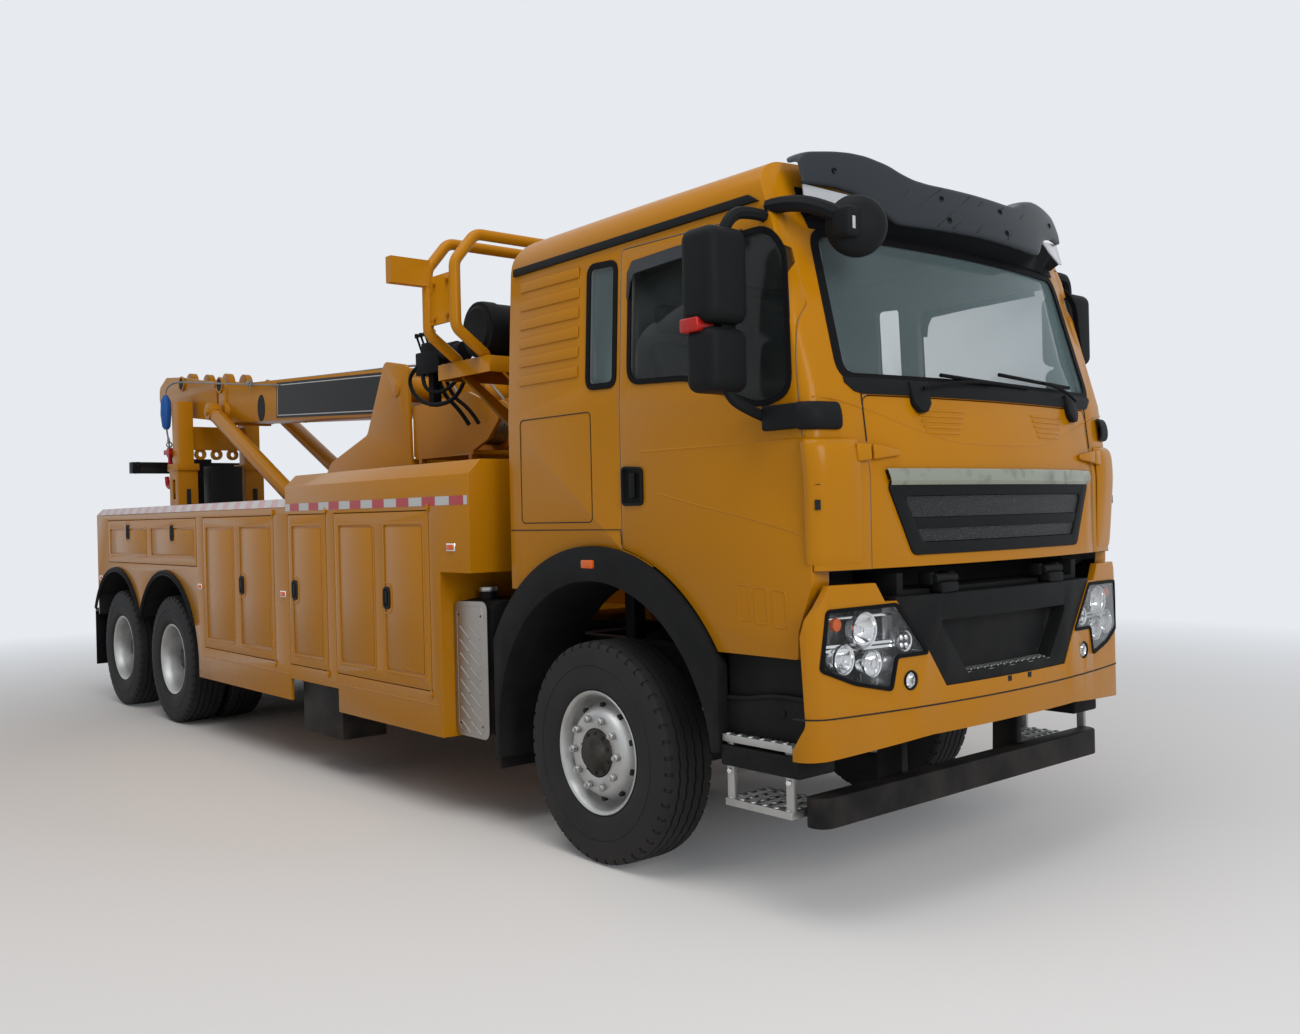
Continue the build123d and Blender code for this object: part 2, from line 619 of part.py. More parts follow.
def front_arches():
    """The black wheel-arch liners with their flared outer lips."""
    ring = drum_y(0, AXLE_Z, -1120, -700,
                  ARCH_INNER_RADIUS + 18) - drum_y(0, AXLE_Z, -1130, -690, ARCH_INNER_RADIUS)
    lip = drum_y(0, AXLE_Z, -1165, -1100,
                 ARCH_OUTER_RADIUS - SEAT_GAP) - drum_y(0, AXLE_Z, -1170, -1090, ARCH_INNER_RADIUS)
    sector = along_y([(0, AXLE_Z), (1400, 740), (1400, 2000), (-1400, 2000), (-1400, 300)], -1200, -600)
    return both_sides((ring + lip) & sector & block(-870, 868, -1200, -600, 350, 1700))


def mudguard_flaps():
    return both_sides(block(-870 - SEAT_GAP - 12, -870 - SEAT_GAP, -1130, -860, 330, 1050))


# Locker doors: name, low x, high x, low z, high z, hinge edge
LOCKER_DOORS = [
    ("lid", -7400, -5060, 1345, 1740, "low"),
    ("door_a", -4920, -3540, 707, 1740, "front"),
    ("door_b", -3300, -2700, 707, 1740, "front"),
    ("door_c", -2587, -1380, 707, 1740, "front"),
]


def locker_right():
    """The right row of lockers: outer form, arches, compartments and door openings."""
    outer = BODY_HALF_WIDTH
    low = [(-outer, LOCKER_BOTTOM_Z), (-outer, LOCKER_TOP_Z - 60), (-outer + 60, LOCKER_TOP_Z),
           (-LOCKER_INNER_Y, LOCKER_TOP_Z), (-LOCKER_INNER_Y, LOCKER_BOTTOM_Z)]
    high = [(-outer, LOCKER_BOTTOM_Z), (-outer, LOCKER_STEP_TOP_Z - 80), (-outer + 80, LOCKER_STEP_TOP_Z),
            (-LOCKER_INNER_Y, LOCKER_STEP_TOP_Z), (-LOCKER_INNER_Y, LOCKER_BOTTOM_Z)]
    body = along_x(low, LOCKER_REAR_X, LOCKER_STEP_X + 1) + along_x(high, LOCKER_STEP_X, LOCKER_FRONT_X)
    for x in REAR_AXLES:
        body -= drum_y(x, AXLE_Z, -1300, 0, REAR_ARCH_RADIUS) & block(LOCKER_REAR_X + 22, 0, -1300, 0, 0,
                                                                      2000)
    low_x, high_x = REAR_AXLES[1], REAR_AXLES[0]
    body -= block(low_x, high_x, -1300, 0, 0, 880)
    body -= block(LOCKER_REAR_X - 1, low_x, -1300, 0, 0, 835)
    body -= block(low_x, high_x + REAR_ARCH_RADIUS, -1300, 0, 0, AXLE_Z)
    body -= block(LOCKER_TOE_X, 0, -1300, 0, 0, 1390)
    body -= block(-3300, -2570, -1300, 0, 0, 610)
    body -= block(-5020, LOCKER_TOE_X - LOCKER_WALL, -outer + LOCKER_WALL, 0, 0, 707 - LOCKER_WALL)
    for _, x0, x1, z0, z1, _ in LOCKER_DOORS:
        body -= block(x0, x1, -1300, -outer + LOCKER_WALL + SEAT_GAP, z0, z1)
        body -= block(x0 + JAMB, x1 - JAMB, -1300, -LOCKER_INNER_Y - LOCKER_WALL, z0 + JAMB, z1 - JAMB)
    return body


def locker_door(x0, x1, z0, z1, _):
    """One locker door on the right side, with its pressed panels."""
    outer = -BODY_HALF_WIDTH
    panel = along_y([(x0 + GAP, z0 + GAP, 12), (x0 + GAP, z1 - GAP, 12), (x1 - GAP, z1 - GAP, 12),
                     (x1 - GAP, z0 + GAP, 12)],
                    outer, outer + LOCKER_WALL)
    count = 1 if x1 - x0 < 700 else 2
    pitch = (x1 - x0) / count
    for i in range(count):
        a, b = x0 + pitch * i + 70, x0 + pitch * (i + 1) - 70
        ring = block(a, b, outer - 1, outer + 5, z0 + 80, z1 - 80)
        panel -= ring - block(a + 14, b - 14, outer - 2, outer + 8, z0 + 94, z1 - 94)
    return panel


def rear_arch_lips():
    """Black rubber lips round the tandem's arches."""
    side = None
    for x in REAR_AXLES:
        ring = drum_y(x, AXLE_Z, -BODY_HALF_WIDTH - 12, -LOCKER_INNER_Y - 60, REAR_ARCH_RADIUS - SEAT_GAP)
        ring -= drum_y(x, AXLE_Z, -BODY_HALF_WIDTH - 13, -LOCKER_INNER_Y, REAR_ARCH_RADIUS - 22)
        ring = ring & block(max(x - 1000, LOCKER_REAR_X + 24), x + 1000, -1300, 0, 870, 1500)
        side = ring if side is None else side + ring
    middle = -WHEELBASE - TANDEM_SPACING / 2
    side -= block(middle - 8, middle + 8, -1300, 0, 0, 905)
    return both_sides(side)


def deck():
    """The floor between the lockers, seated on the rails."""
    floor = block(LOCKER_REAR_X, -1650, -LOCKER_INNER_Y, LOCKER_INNER_Y, DECK_Z - DECK_THICKNESS, DECK_Z)
    for x in (-7500, -5100, -3400, -1750):
        floor += block(x - 50, x + 50, -LOCKER_INNER_Y, LOCKER_INNER_Y, RAIL_TOP_Z,
                       DECK_Z - DECK_THICKNESS + 1)
    return floor


def mast_frame():
    """The two mast plates, the boom's pivot pin and the lift cylinders' base pins."""
    corners = [
        (-3330, 2850, 70), (-2990, 2790, 70), (-2970, 2140), (-2760, DECK_Z), (-4990, DECK_Z),
        (-4990, 1400, 60),
        (-4830, 1790, 60), (-4560, 1830, 120), (-4240, 2150, 120), (-3620, 2330, 80),
    ]
    plate = along_y(corners, MAST_PLATE_Y, MAST_PLATE_Y + MAST_PLATE)
    frame = both_sides(plate)
    frame += drum_y(BOOM_PIVOT[0], BOOM_PIVOT[1], -MAST_PLATE_Y - 40, MAST_PLATE_Y + 40, BOOM_PIN_RADIUS)
    frame += drum_y(CYLINDER_BASE[0], CYLINDER_BASE[1], -MAST_PLATE_Y - 20, MAST_PLATE_Y + 20, 40)
    frame += block(-3020, -2980, -MAST_PLATE_Y - 1, MAST_PLATE_Y + 1, DECK_Z, 2120)
    frame += block(-4300, -4260, -MAST_PLATE_Y - 1, MAST_PLATE_Y + 1, DECK_Z, 1500)
    return frame


WINCH_AXIS = (-2420, 2330)


def winches():
    """Twin winch drums between their side plates on a pedestal."""
    corners = [(-2969, 2490), (-2240, 2530, 60), (-1810, 2370, 60), (-2000, 2200, 60), (-2170, 2140),
               (-2969, 2130)]
    side = along_y(corners, 412, MAST_PLATE_Y)
    side += block(-2900, -2860, 400, MAST_PLATE_Y, DECK_Z,
                  2140) + block(-2240, -2200, 400, MAST_PLATE_Y, DECK_Z, 2200)
    side += along_y(corners, -14, 14) & block(-3000, -1000, 0, 14, 0, 3000)
    side += drum_y(WINCH_AXIS[0], WINCH_AXIS[1], 60, 360,
                   120) + drum_y(WINCH_AXIS[0], WINCH_AXIS[1], 10, 415, 45)
    for y in (60, 345):
        side += drum_y(WINCH_AXIS[0], WINCH_AXIS[1], y, y + 15, 175)
    frame = both_sides(side) + block(-2950, -2180, -MAST_PLATE_Y, MAST_PLATE_Y, 2110, 2140)
    return frame


SHELF_Z = 2600
HOOP_X = [-1200, -1500]
HOOP_RADIUS = 32


def tower():
    """The frame behind the cab that carries the shelf and the guard hoops."""
    frame = block(-1640, -1080, -1010, 1010, SHELF_Z - 12, SHELF_Z)
    frame += block(-1640, -1628, -1010, 1010, SHELF_Z - 90,
                   SHELF_Z) + block(-1092, -1080, -1010, 1010, SHELF_Z - 90, SHELF_Z)
    for y in (-1010, 998):
        frame += block(-1640, -1080, y, y + 12, SHELF_Z - 90, SHELF_Z)
    for x in (-1600, -1180):
        side = block(x, x + 70, 380, 450, RAIL_TOP_Z, SHELF_Z - 11)
        side += along_x([(448, 2150), (448, 2250), (900, SHELF_Z - 11), (960, SHELF_Z - 11)], x + 20, x + 50)
        frame += both_sides(side)
        frame += block(x, x + 70, -381, 381, 1700, 1770)
    for y in (-450, 380):
        frame += block(-1531, -1179, y, y + 70, 1900, 1960)
    return frame


def guard_hoops():
    """Two bent tubes across the truck, joined at each side by a plate with a stub arm."""
    hoops = None
    for x in HOOP_X:
        half = [(x, 960, SHELF_Z), (x, 960, SHELF_Z + 20), (x, 1150, 2760), (x, 1150, 3130), (x, 1010, 3300)]
        points = half + [(x, -y, z) for _, y, z in reversed(half)]
        path = FilletPolyline(*points, radius=[20, 70, 90, 90, 90, 90, 70, 20])
        tube = sweep(Plane(origin=points[0], z_dir=(0, 0, 1)) * Circle(HOOP_RADIUS), path=path)
        hoops = tube if hoops is None else hoops + tube
    side = block(HOOP_X[1], HOOP_X[0], 1140, 1152, 2800, 3080)
    side += block(HOOP_X[1] - 30, HOOP_X[1] + 30, 1150, 1400, 3030, 3180)
    return hoops + both_sides(side)


def air_cleaner():
    drum = Pos(-930, -560, SHELF_Z + 190) * Rot(0, 0, 0) * Rot(90, 0, 0) * Cylinder(165, 420)
    foot = block(-1000, -860, -640, -480, SHELF_Z - 12, SHELF_Z + 60)
    return drum + foot + block(-1080 + SEAT_GAP, -990, -640, -480, SHELF_Z - 12, SHELF_Z + 6)


def valve_block():
    return block(-1560, -1250, -700, -430, SHELF_Z + SEAT_GAP, SHELF_Z + 190)


# The boom is drawn level about its pivot, u to the rear and w up, and then tipped by BOOM_RISE
def on_boom(shape):
    return Pos(BOOM_PIVOT[0], 0, BOOM_PIVOT[1]) * Rot(0, BOOM_RISE, 0) * shape


def boom_point(x, z):
    """The level (x, z) of a point that is given on the tipped boom."""
    turn = radians(-BOOM_RISE)
    dx, dz = x - BOOM_PIVOT[0], z - BOOM_PIVOT[1]
    return dx * cos(turn) + dz * sin(turn), -dx * sin(turn) + dz * cos(turn)


def boom_outer():
    """The outer boom box with its pivot boss, collar and cylinder lugs."""
    half, length = BOOM_HALF_WIDTH, BOOM_OUTER_LENGTH
    profile = [(110, -110, 100), (110, 130, 90), (-400, BOOM_TOP_W), (-length, BOOM_TOP_W),
               (-length, BOOM_BOTTOM_W),
               (-500, BOOM_BOTTOM_W)]
    box = along_y(profile, -half, half)
    box += block(-length, -length + 160, -half - 22, half + 22, BOOM_BOTTOM_W - 22, BOOM_TOP_W + 22)
    box += both_sides(drum_y(0, 0, half - 1, MAST_PLATE_Y - GAP, BOOM_PIN_RADIUS + 35))
    box -= block(-length - 1, -620, -half + BOOM_WALL, half - BOOM_WALL, BOOM_BOTTOM_W + BOOM_WALL,
                 BOOM_TOP_W - BOOM_WALL)
    box -= drum_y(0, 0, -MAST_PLATE_Y, MAST_PLATE_Y, BOOM_PIN_RADIUS + SEAT_GAP)
    eye = boom_point(*CYLINDER_EYE)
    box += both_sides(drum_y(eye[0], eye[1], half - 1, 262, 105))
    return on_boom(box)


# The head's rounded tip is the truck's rearmost point; its roundest part lies HEAD_TIP_W above the axis
HEAD_TIP_W = 117
HEAD_END_U = (TAIL_X - BOOM_PIVOT[0] - HEAD_TIP_W * sin(radians(BOOM_RISE))) / cos(radians(BOOM_RISE))
SHEAVES = [(-8330, 3190), (-7320, 3085)]
HEAD_FRONT_U = -BOOM_OUTER_LENGTH - 70
INNER_FRONT_U = -1500
INNER_REAR_U = -BOOM_OUTER_LENGTH - 340
WEAR_PAD = 120


def boom_inner():
    """The inner boom box with the head's plates and sheaves."""
    half = BOOM_HALF_WIDTH - BOOM_WALL - BOOM_CLEARANCE
    top, bottom = BOOM_TOP_W - BOOM_WALL - BOOM_CLEARANCE, BOOM_BOTTOM_W + BOOM_WALL + BOOM_CLEARANCE
    box = block(INNER_REAR_U, INNER_FRONT_U, -half, half, bottom, top)
    pad = BOOM_CLEARANCE - SEAT_GAP
    for low in (INNER_FRONT_U - WEAR_PAD, 100 - BOOM_OUTER_LENGTH):
        box += block(low, low + WEAR_PAD, -half - pad, half + pad, bottom - pad, top + pad)
    box -= block(INNER_REAR_U - 1, INNER_FRONT_U + 1, -half + BOOM_WALL, half - BOOM_WALL, bottom + BOOM_WALL,
                 top - BOOM_WALL)
    return on_boom(box)


def boom_head():
    plate = [(HEAD_FRONT_U, 170, 40), (HEAD_FRONT_U - 180, 245, 80), (-5150, 325, 120), (-5600, 340, 90),
             (HEAD_END_U, 230, 70), (HEAD_END_U, 60, 80), (-5500, -20, 120), (-4900, -110, 150),
             (HEAD_FRONT_U, -150)]
    side = along_y(plate, 190, 232) - block(INNER_REAR_U - 1, HEAD_FRONT_U + 1, 0, 196, -400, 400)
    head = both_sides(side)
    head += block(-5000, -4960, -191, 191, -80, 200)
    for x, z in SHEAVES:
        u, w = boom_point(x, z)
        head += drum_y(u, w, -240, 240, 35)
        for y in (-120, 60):
            head += drum_y(u, w, y, y + 60, 115)
    return on_boom(head)


def cylinder_axis(distance, y):
    """A point on a lift cylinder's axis, counted from its base pin."""
    span = hypot(CYLINDER_EYE[0] - CYLINDER_BASE[0], CYLINDER_EYE[1] - CYLINDER_BASE[1])
    share = distance / span
    return (CYLINDER_BASE[0] + share * (CYLINDER_EYE[0] - CYLINDER_BASE[0]), y,
            CYLINDER_BASE[1] + share * (CYLINDER_EYE[1] - CYLINDER_BASE[1]))


CYLINDER_SPAN = hypot(CYLINDER_EYE[0] - CYLINDER_BASE[0], CYLINDER_EYE[1] - CYLINDER_BASE[1])


def lift_barrels():
    y = CYLINDER_Y
    barrel = bar(cylinder_axis(60, y), cylinder_axis(CYLINDER_SPAN - 150, y), CYLINDER_RADIUS)
    barrel += drum_y(CYLINDER_BASE[0], CYLINDER_BASE[1], y - 60, y + 60, 78)
    barrel -= bar(cylinder_axis(400, y), cylinder_axis(CYLINDER_SPAN, y), CYLINDER_ROD_RADIUS + SEAT_GAP)
    barrel -= drum_y(CYLINDER_BASE[0], CYLINDER_BASE[1], y - 61, y + 61, 40 + SEAT_GAP)
    return both_sides(barrel)


def lift_rods():
    y = CYLINDER_Y
    shaft = bar(cylinder_axis(430, y), cylinder_axis(CYLINDER_SPAN, y), CYLINDER_ROD_RADIUS)
    shaft += drum_y(CYLINDER_EYE[0], CYLINDER_EYE[1], y - 55, y + 55, 82)
    shaft += drum_y(CYLINDER_EYE[0], CYLINDER_EYE[1], 263, y + 75, 38)
    return both_sides(shaft)


def underlift_columns():
    """The two columns behind the lockers, with their caps, posts and foot plates."""
    low, high = COLUMN_Y - COLUMN_WIDTH / 2, COLUMN_Y + COLUMN_WIDTH / 2
    side = block(COLUMN_REAR_X, COLUMN_FRONT_X, low, high, 620, COLUMN_TOP_Z)
    side -= block(COLUMN_REAR_X + 14, COLUMN_FRONT_X - 14, low + 14, high - 14, 600, COLUMN_TOP_Z - 300)
    side -= block(COLUMN_REAR_X + 90, COLUMN_FRONT_X - 90, low - 1, high + 1, 1950, 2150)
    side += block(COLUMN_REAR_X - 18, COLUMN_FRONT_X + 18, low - 12, high + 12, COLUMN_TOP_Z - 60,
                  COLUMN_TOP_Z + 10)
    side += block(COLUMN_REAR_X + 40, COLUMN_FRONT_X - 30, low + 25, high - 25, COLUMN_TOP_Z, POST_TOP_Z)
    side += block(COLUMN_FRONT_X - 1, LOCKER_REAR_X - SEAT_GAP, low, high, DECK_Z, 1500)
    return both_sides(side)


CROSSHEAD_X = [-7965, -7895]
RING_Y = [-170, 0, 170]
RING_Z = 2415
RING_BORE = 26


def crosshead():
    """The plate between the posts with its ring eyes below."""
    inner = COLUMN_Y - COLUMN_WIDTH / 2 + 25 - SEAT_GAP
    plate = block(CROSSHEAD_X[0], CROSSHEAD_X[1], -inner, inner, 2460, 2700)
    eye_x = sum(CROSSHEAD_X) / 2
    for y in RING_Y:
        eye = Pos(eye_x, y, RING_Z) * Rot(0, 90, 0) * Cylinder(58, 44)
        eye += block(eye_x - 22, eye_x + 22, y - 40, y + 40, RING_Z, 2461)
        plate += eye - Pos(eye_x, y, RING_Z) * Rot(0, 90, 0) * Cylinder(RING_BORE, 60)
    return plate


HOOK_X = COLUMN_REAR_X - 95
HOOK_TOP_Z = 2440


def tow_hooks():
    """Two hooks stowed on pins behind the columns, each one bent bar with an eye."""
    path = FilletPolyline((HOOK_X, 0, HOOK_TOP_Z - 40), (HOOK_X, 0, HOOK_TOP_Z - 120),
                          (HOOK_X + 45, 0, HOOK_TOP_Z - 190),
                          (HOOK_X + 45, 0, HOOK_TOP_Z - 300), (HOOK_X - 20, 0, HOOK_TOP_Z - 370),
                          (HOOK_X - 100, 0, HOOK_TOP_Z - 340), (HOOK_X - 120, 0, HOOK_TOP_Z - 250),
                          radius=[40, 40, 55, 55, 45])
    hook = sweep(Plane(origin=(HOOK_X, 0, HOOK_TOP_Z - 40), z_dir=(0, 0, 1)) * Circle(23), path=path)
    eye = drum_y(HOOK_X, HOOK_TOP_Z, -24, 24, 52) - drum_y(HOOK_X, HOOK_TOP_Z, -25, 25, 24)
    pin = drum_y(HOOK_X, HOOK_TOP_Z, -60, 60, 24 - SEAT_GAP)
    pin += block(HOOK_X - 22, POST_REAR_X - SEAT_GAP, -60, -30, HOOK_TOP_Z - 24, HOOK_TOP_Z + 24)
    pin += block(HOOK_X - 22, POST_REAR_X - SEAT_GAP, 30, 60, HOOK_TOP_Z - 24, HOOK_TOP_Z + 24)
    return [Pos(0, side * (COLUMN_Y - 15), 0) * shape for side in (-1, 1) for shape in (hook + eye, pin)]


POST_REAR_X = COLUMN_REAR_X + 40
CARRIAGE_REAR_X = COLUMN_REAR_X - 70
STINGER_X = [-8575, -8375]
STINGER_AXIS = (-8475, 760)
STINGER_WALL = 14
STINGER_OUTER_TOP_Z = 1900
STINGER_TIP_BOTTOM_Z = 1050


def underlift_carriage():
    """The plate that slides on the columns and carries the stinger's pivot."""
    width = COLUMN_Y + COLUMN_WIDTH / 2
    plate = block(CARRIAGE_REAR_X, COLUMN_REAR_X - SEAT_GAP, -width, width, 660, 1060)
    lug = along_y([(CARRIAGE_REAR_X + 1, 670), (CARRIAGE_REAR_X + 1, 940), (STINGER_AXIS[0] - 80, 850, 80),
                   (STINGER_AXIS[0] - 80, 670, 80)],
                  STINGER_HALF_WIDTH + GAP, STINGER_HALF_WIDTH + GAP + 40)
    plate += both_sides(lug)
    return plate + drum_y(STINGER_AXIS[0], STINGER_AXIS[1], -STINGER_HALF_WIDTH - 45, STINGER_HALF_WIDTH + 45,
                          40)


def stinger_outer():
    half = STINGER_HALF_WIDTH
    box = along_y([(STINGER_X[0], 670, 90), (STINGER_X[0], STINGER_OUTER_TOP_Z),
                   (STINGER_X[1], STINGER_OUTER_TOP_Z),
                   (STINGER_X[1], 670, 90)], -half, half)
    box -= block(STINGER_X[0] + STINGER_WALL, STINGER_X[1] - STINGER_WALL, -half + STINGER_WALL,
                 half - STINGER_WALL, 900, 2000)
    box += block(STINGER_X[0] - 10, STINGER_X[1] + 10, -half - 10, half + 10, STINGER_OUTER_TOP_Z - 90,
                 STINGER_OUTER_TOP_Z)
    box -= block(STINGER_X[0] + STINGER_WALL, STINGER_X[1] - STINGER_WALL, -half + STINGER_WALL,
                 half - STINGER_WALL, 900, 2000)
    return box - drum_y(STINGER_AXIS[0], STINGER_AXIS[1], -200, 200, 40 + SEAT_GAP)


def stinger_tip():
    """The inner stinger box with the head that carries the crossbar's pin."""
    inset = STINGER_WALL + SEAT_GAP
    low_x, high_x, half = STINGER_X[0] + inset, STINGER_X[1] - inset, STINGER_HALF_WIDTH - inset
    box = block(low_x, high_x, -half, half, STINGER_TIP_BOTTOM_Z, STINGER_TOP_Z + 190)
    box -= block(low_x + 12, high_x - 12, -half + 12, half - 12, STINGER_TIP_BOTTOM_Z - 1, STINGER_TOP_Z)
    return box + Pos((CROSSBAR_X + low_x) / 2 - 25, 0,
                     CROSSBAR_Z) * Rot(0, 90, 0) * Cylinder(38, low_x - CROSSBAR_X + 60)


SOCKET_Y = 575
SOCKET_BORE = 25
CROSSBAR_DEPTH = 110


def crossbar():
    """The crossbar with its fork sockets, on the stinger's pin."""
    low_x, high_x = CROSSBAR_X - CROSSBAR_DEPTH / 2, CROSSBAR_X + CROSSBAR_DEPTH / 2
    bar_box = block(low_x, high_x, -CROSSBAR_HALF_LENGTH, CROSSBAR_HALF_LENGTH, CROSSBAR_Z - 60,
                    CROSSBAR_Z + 60)
    bar_box += Pos(CROSSBAR_X, 0, CROSSBAR_Z) * Rot(0, 90, 0) * Cylinder(95, CROSSBAR_DEPTH)
    bar_box -= Pos(CROSSBAR_X, 0, CROSSBAR_Z) * Rot(0, 90, 0) * Cylinder(38 + SEAT_GAP, 200)
    for y in (-SOCKET_Y, SOCKET_Y):
        bar_box -= Pos(CROSSBAR_X, y, CROSSBAR_Z) * Rot(0, 90, 0) * Cylinder(SOCKET_BORE, 200)
    return bar_box


def folded_arm_box():
    """The black valve box between the columns."""
    return block(-7880, -7640, -160, 160, DECK_Z + SEAT_GAP, 2280)


def tail_bar():
    """The lamp bar on the lockers' rear faces."""
    half = block(-7850, LOCKER_REAR_X - SEAT_GAP, 470, 1225, 880, 1040)
    return both_sides(half)


def tail_lamps():
    lamps = None
    for y in (620, 800, 1000):
        lamp = Pos(-7858, y, 960) * Rot(0, 90, 0) * Cylinder(62, 15)
        lamps = lamp if lamps is None else lamps + lamp
    return both_sides(lamps)


def side_box():
    """The black box under the skirt's cut-out on each side."""
    return both_sides(block(-3230, -2640, 880, 1190, 260,
                            620) + block(-3160, -2710, RAIL_SIDE_Y, 881, 560, 680)
                      + block(-3160, -2710, RAIL_SIDE_Y, 550, 560, 760))


# The sun visor's nose line, its half outline seen from the front, and its brackets as (y, z, reach)
VISOR_NOSE = [(2880, 1457), (3230, 1370)]
VISOR_SWEEP = 165
VISOR_WALL = 24
VISOR_HALF_FRONT = [
    (0, 2908), (560, 2902, 60), (640, 2974, 60), (720, 3015, 80), (840, 3039, 100), (990, 3038, 20),
    (990, 3130, 45), (930, 3180, 60), (720, 3200, 200), (560, 3185, 100), (450, 3125, 100), (380, 3110),
    (0, 3107),
]
VISOR_BRACKETS = [(260, 2945, 1410), (760, 3060, 1302)]


def roof_visor():
    """The sun visor: a curved blade over the windscreen that rises in a lobe at each end."""
    outer, inner = [
        loft([nose_section(z, nose, 1010, 900, VISOR_SWEEP, 60, inset) for z, nose in VISOR_NOSE], ruled=True)
        for inset in (0, VISOR_WALL)
    ]
    corners = VISOR_HALF_FRONT + mirrored_corners(VISOR_HALF_FRONT[1:-1])
    blade = ((outer - inner) & along_x(corners, 1180, 1700)) - cab_form(-SEAT_GAP)
    for (y, z, reach) in VISOR_BRACKETS:
        arm = block(1150, reach, y - 15, y + 15, z, z + 35) - cab_form(-SEAT_GAP)
        blade += both_sides(arm)
    return blade


def dashboard():
    board = along_y([(1360 - SEAT_GAP, CAB_FLOOR_Z + SEAT_GAP), (1360 - SEAT_GAP, 2150, 40), (1230, 2190, 60),
                     (1010, 2130, 80), (980, 1950, 60), (1150, 1850, 40),
                     (1180, CAB_FLOOR_Z + SEAT_GAP)], -990, 990)
    column = bar((1090, 560, 2020), (962, 560, 2102), 32)
    return board + column


def steering_wheel():
    wheel = Torus(215, 15) + Cylinder(60, 30)
    for i in range(4):
        wheel += Rot(0, 0, 45 + 90 * i) * Pos(105, 0, 0) * Box(215, 26, 12)
    return Pos(950, 560, 2110) * Rot(0, -57, 0) * wheel


def seats():
    """Two seats and the bunk behind them."""
    parts = []
    for y in (-560, 560):
        base = along_x([(y - 180, CAB_FLOOR_Z + SEAT_GAP), (y - 180, 1880), (y + 180, 1880),
                        (y + 180, CAB_FLOOR_Z + SEAT_GAP)], 330, 700)
        cushion = along_y([(260, 1879), (260, 2000, 50), (750, 2020, 60), (750, 1879, 30)], y - 245, y + 245)
        back = along_y([(130, 1950, 40), (-60, 2560, 60), (60, 2600, 50), (270, 1960, 40)], y - 235, y + 235)
        parts.append(base + cushion + back + along_y([(-62, 2570, 40), (-95, 2770, 50), (10, 2780, 50),
                                                      (50, 2590, 40)], y - 130, y + 130))
    bunk = along_y([(CAB_REAR_X + CAB_WALL + 1, 1950, 30), (CAB_REAR_X + CAB_WALL + 1, 2080, 40),
                    (-180, 2080, 40), (-180, 1950, 30)], -1060, 1060)
    bunk += block(-660, -200, -1050, 1050, CAB_FLOOR_Z + SEAT_GAP, 1951)
    return parts + [bunk]


def mirror_right():
    """The main and wide-angle mirrors on their arms, carried by the door."""
    shells = along_z([(1075, -1200, 40), (1075, -1415, 45), (1200, -1400, 55), (1230, -1230, 45)], 2465, 2855)
    shells += along_z([(1085, -1210, 35), (1085, -1405, 40), (1190, -1390, 45), (1215, -1235, 40)], 2190,
                      2450)
    shells += block(1120, 1160, -1300, -1270, 2440, 2475)
    foot = block(1085, 1235, -1160, -CAB_HALF_WIDTH - SEAT_GAP, 2050, 2150)
    lower_arm = along_x([(-1150, 2070), (-1310, 2130), (-1310, 2200), (-1270, 2200), (-1270, 2160),
                         (-1150, 2120)], 1130, 1170)
    upper_arm = along_x([(-1103, 2875), (-1260, 2862), (-1260, 2840), (-1300, 2840), (-1300, 2890),
                         (-1103, 2905)], 1125, 1165)
    return shells + foot + lower_arm + upper_arm


def front_mirror():
    """The close-view mirror on its arm at the right corner of the roof."""
    dish = Pos(1430, -880, 2760) * Sphere(118)
    dish = dish & block(1390, 1560, -1100, -700, 2600, 2870)
    arm = bar((1402, -890, 2835), (1120, -1075, 2850), 18)
    return dish + (arm - cab_form(-SEAT_GAP))


def wiper_cowl():
    """The black panel at the foot of the windscreen."""
    half = [(940, FLAP_TOP_Z + GAP + 2), (960, WINDSCREEN_BOTTOM_Z - 2, 30)]
    corners = half + mirrored_corners(half)
    return along_x(corners, 1200, 1800) & cab_skin(-10, 0)


def mirror_shapes(shape):
    return [other_side(s) for s in (shape if isinstance(shape, list) else [shape])]


def save_pair(name, right_shape):
    """Save a right-hand node and its mirror image."""
    shapes = right_shape if isinstance(right_shape, list) else [right_shape]
    save(f"{name}_right", *shapes)
    save(f"{name}_left", *mirror_shapes(shapes))


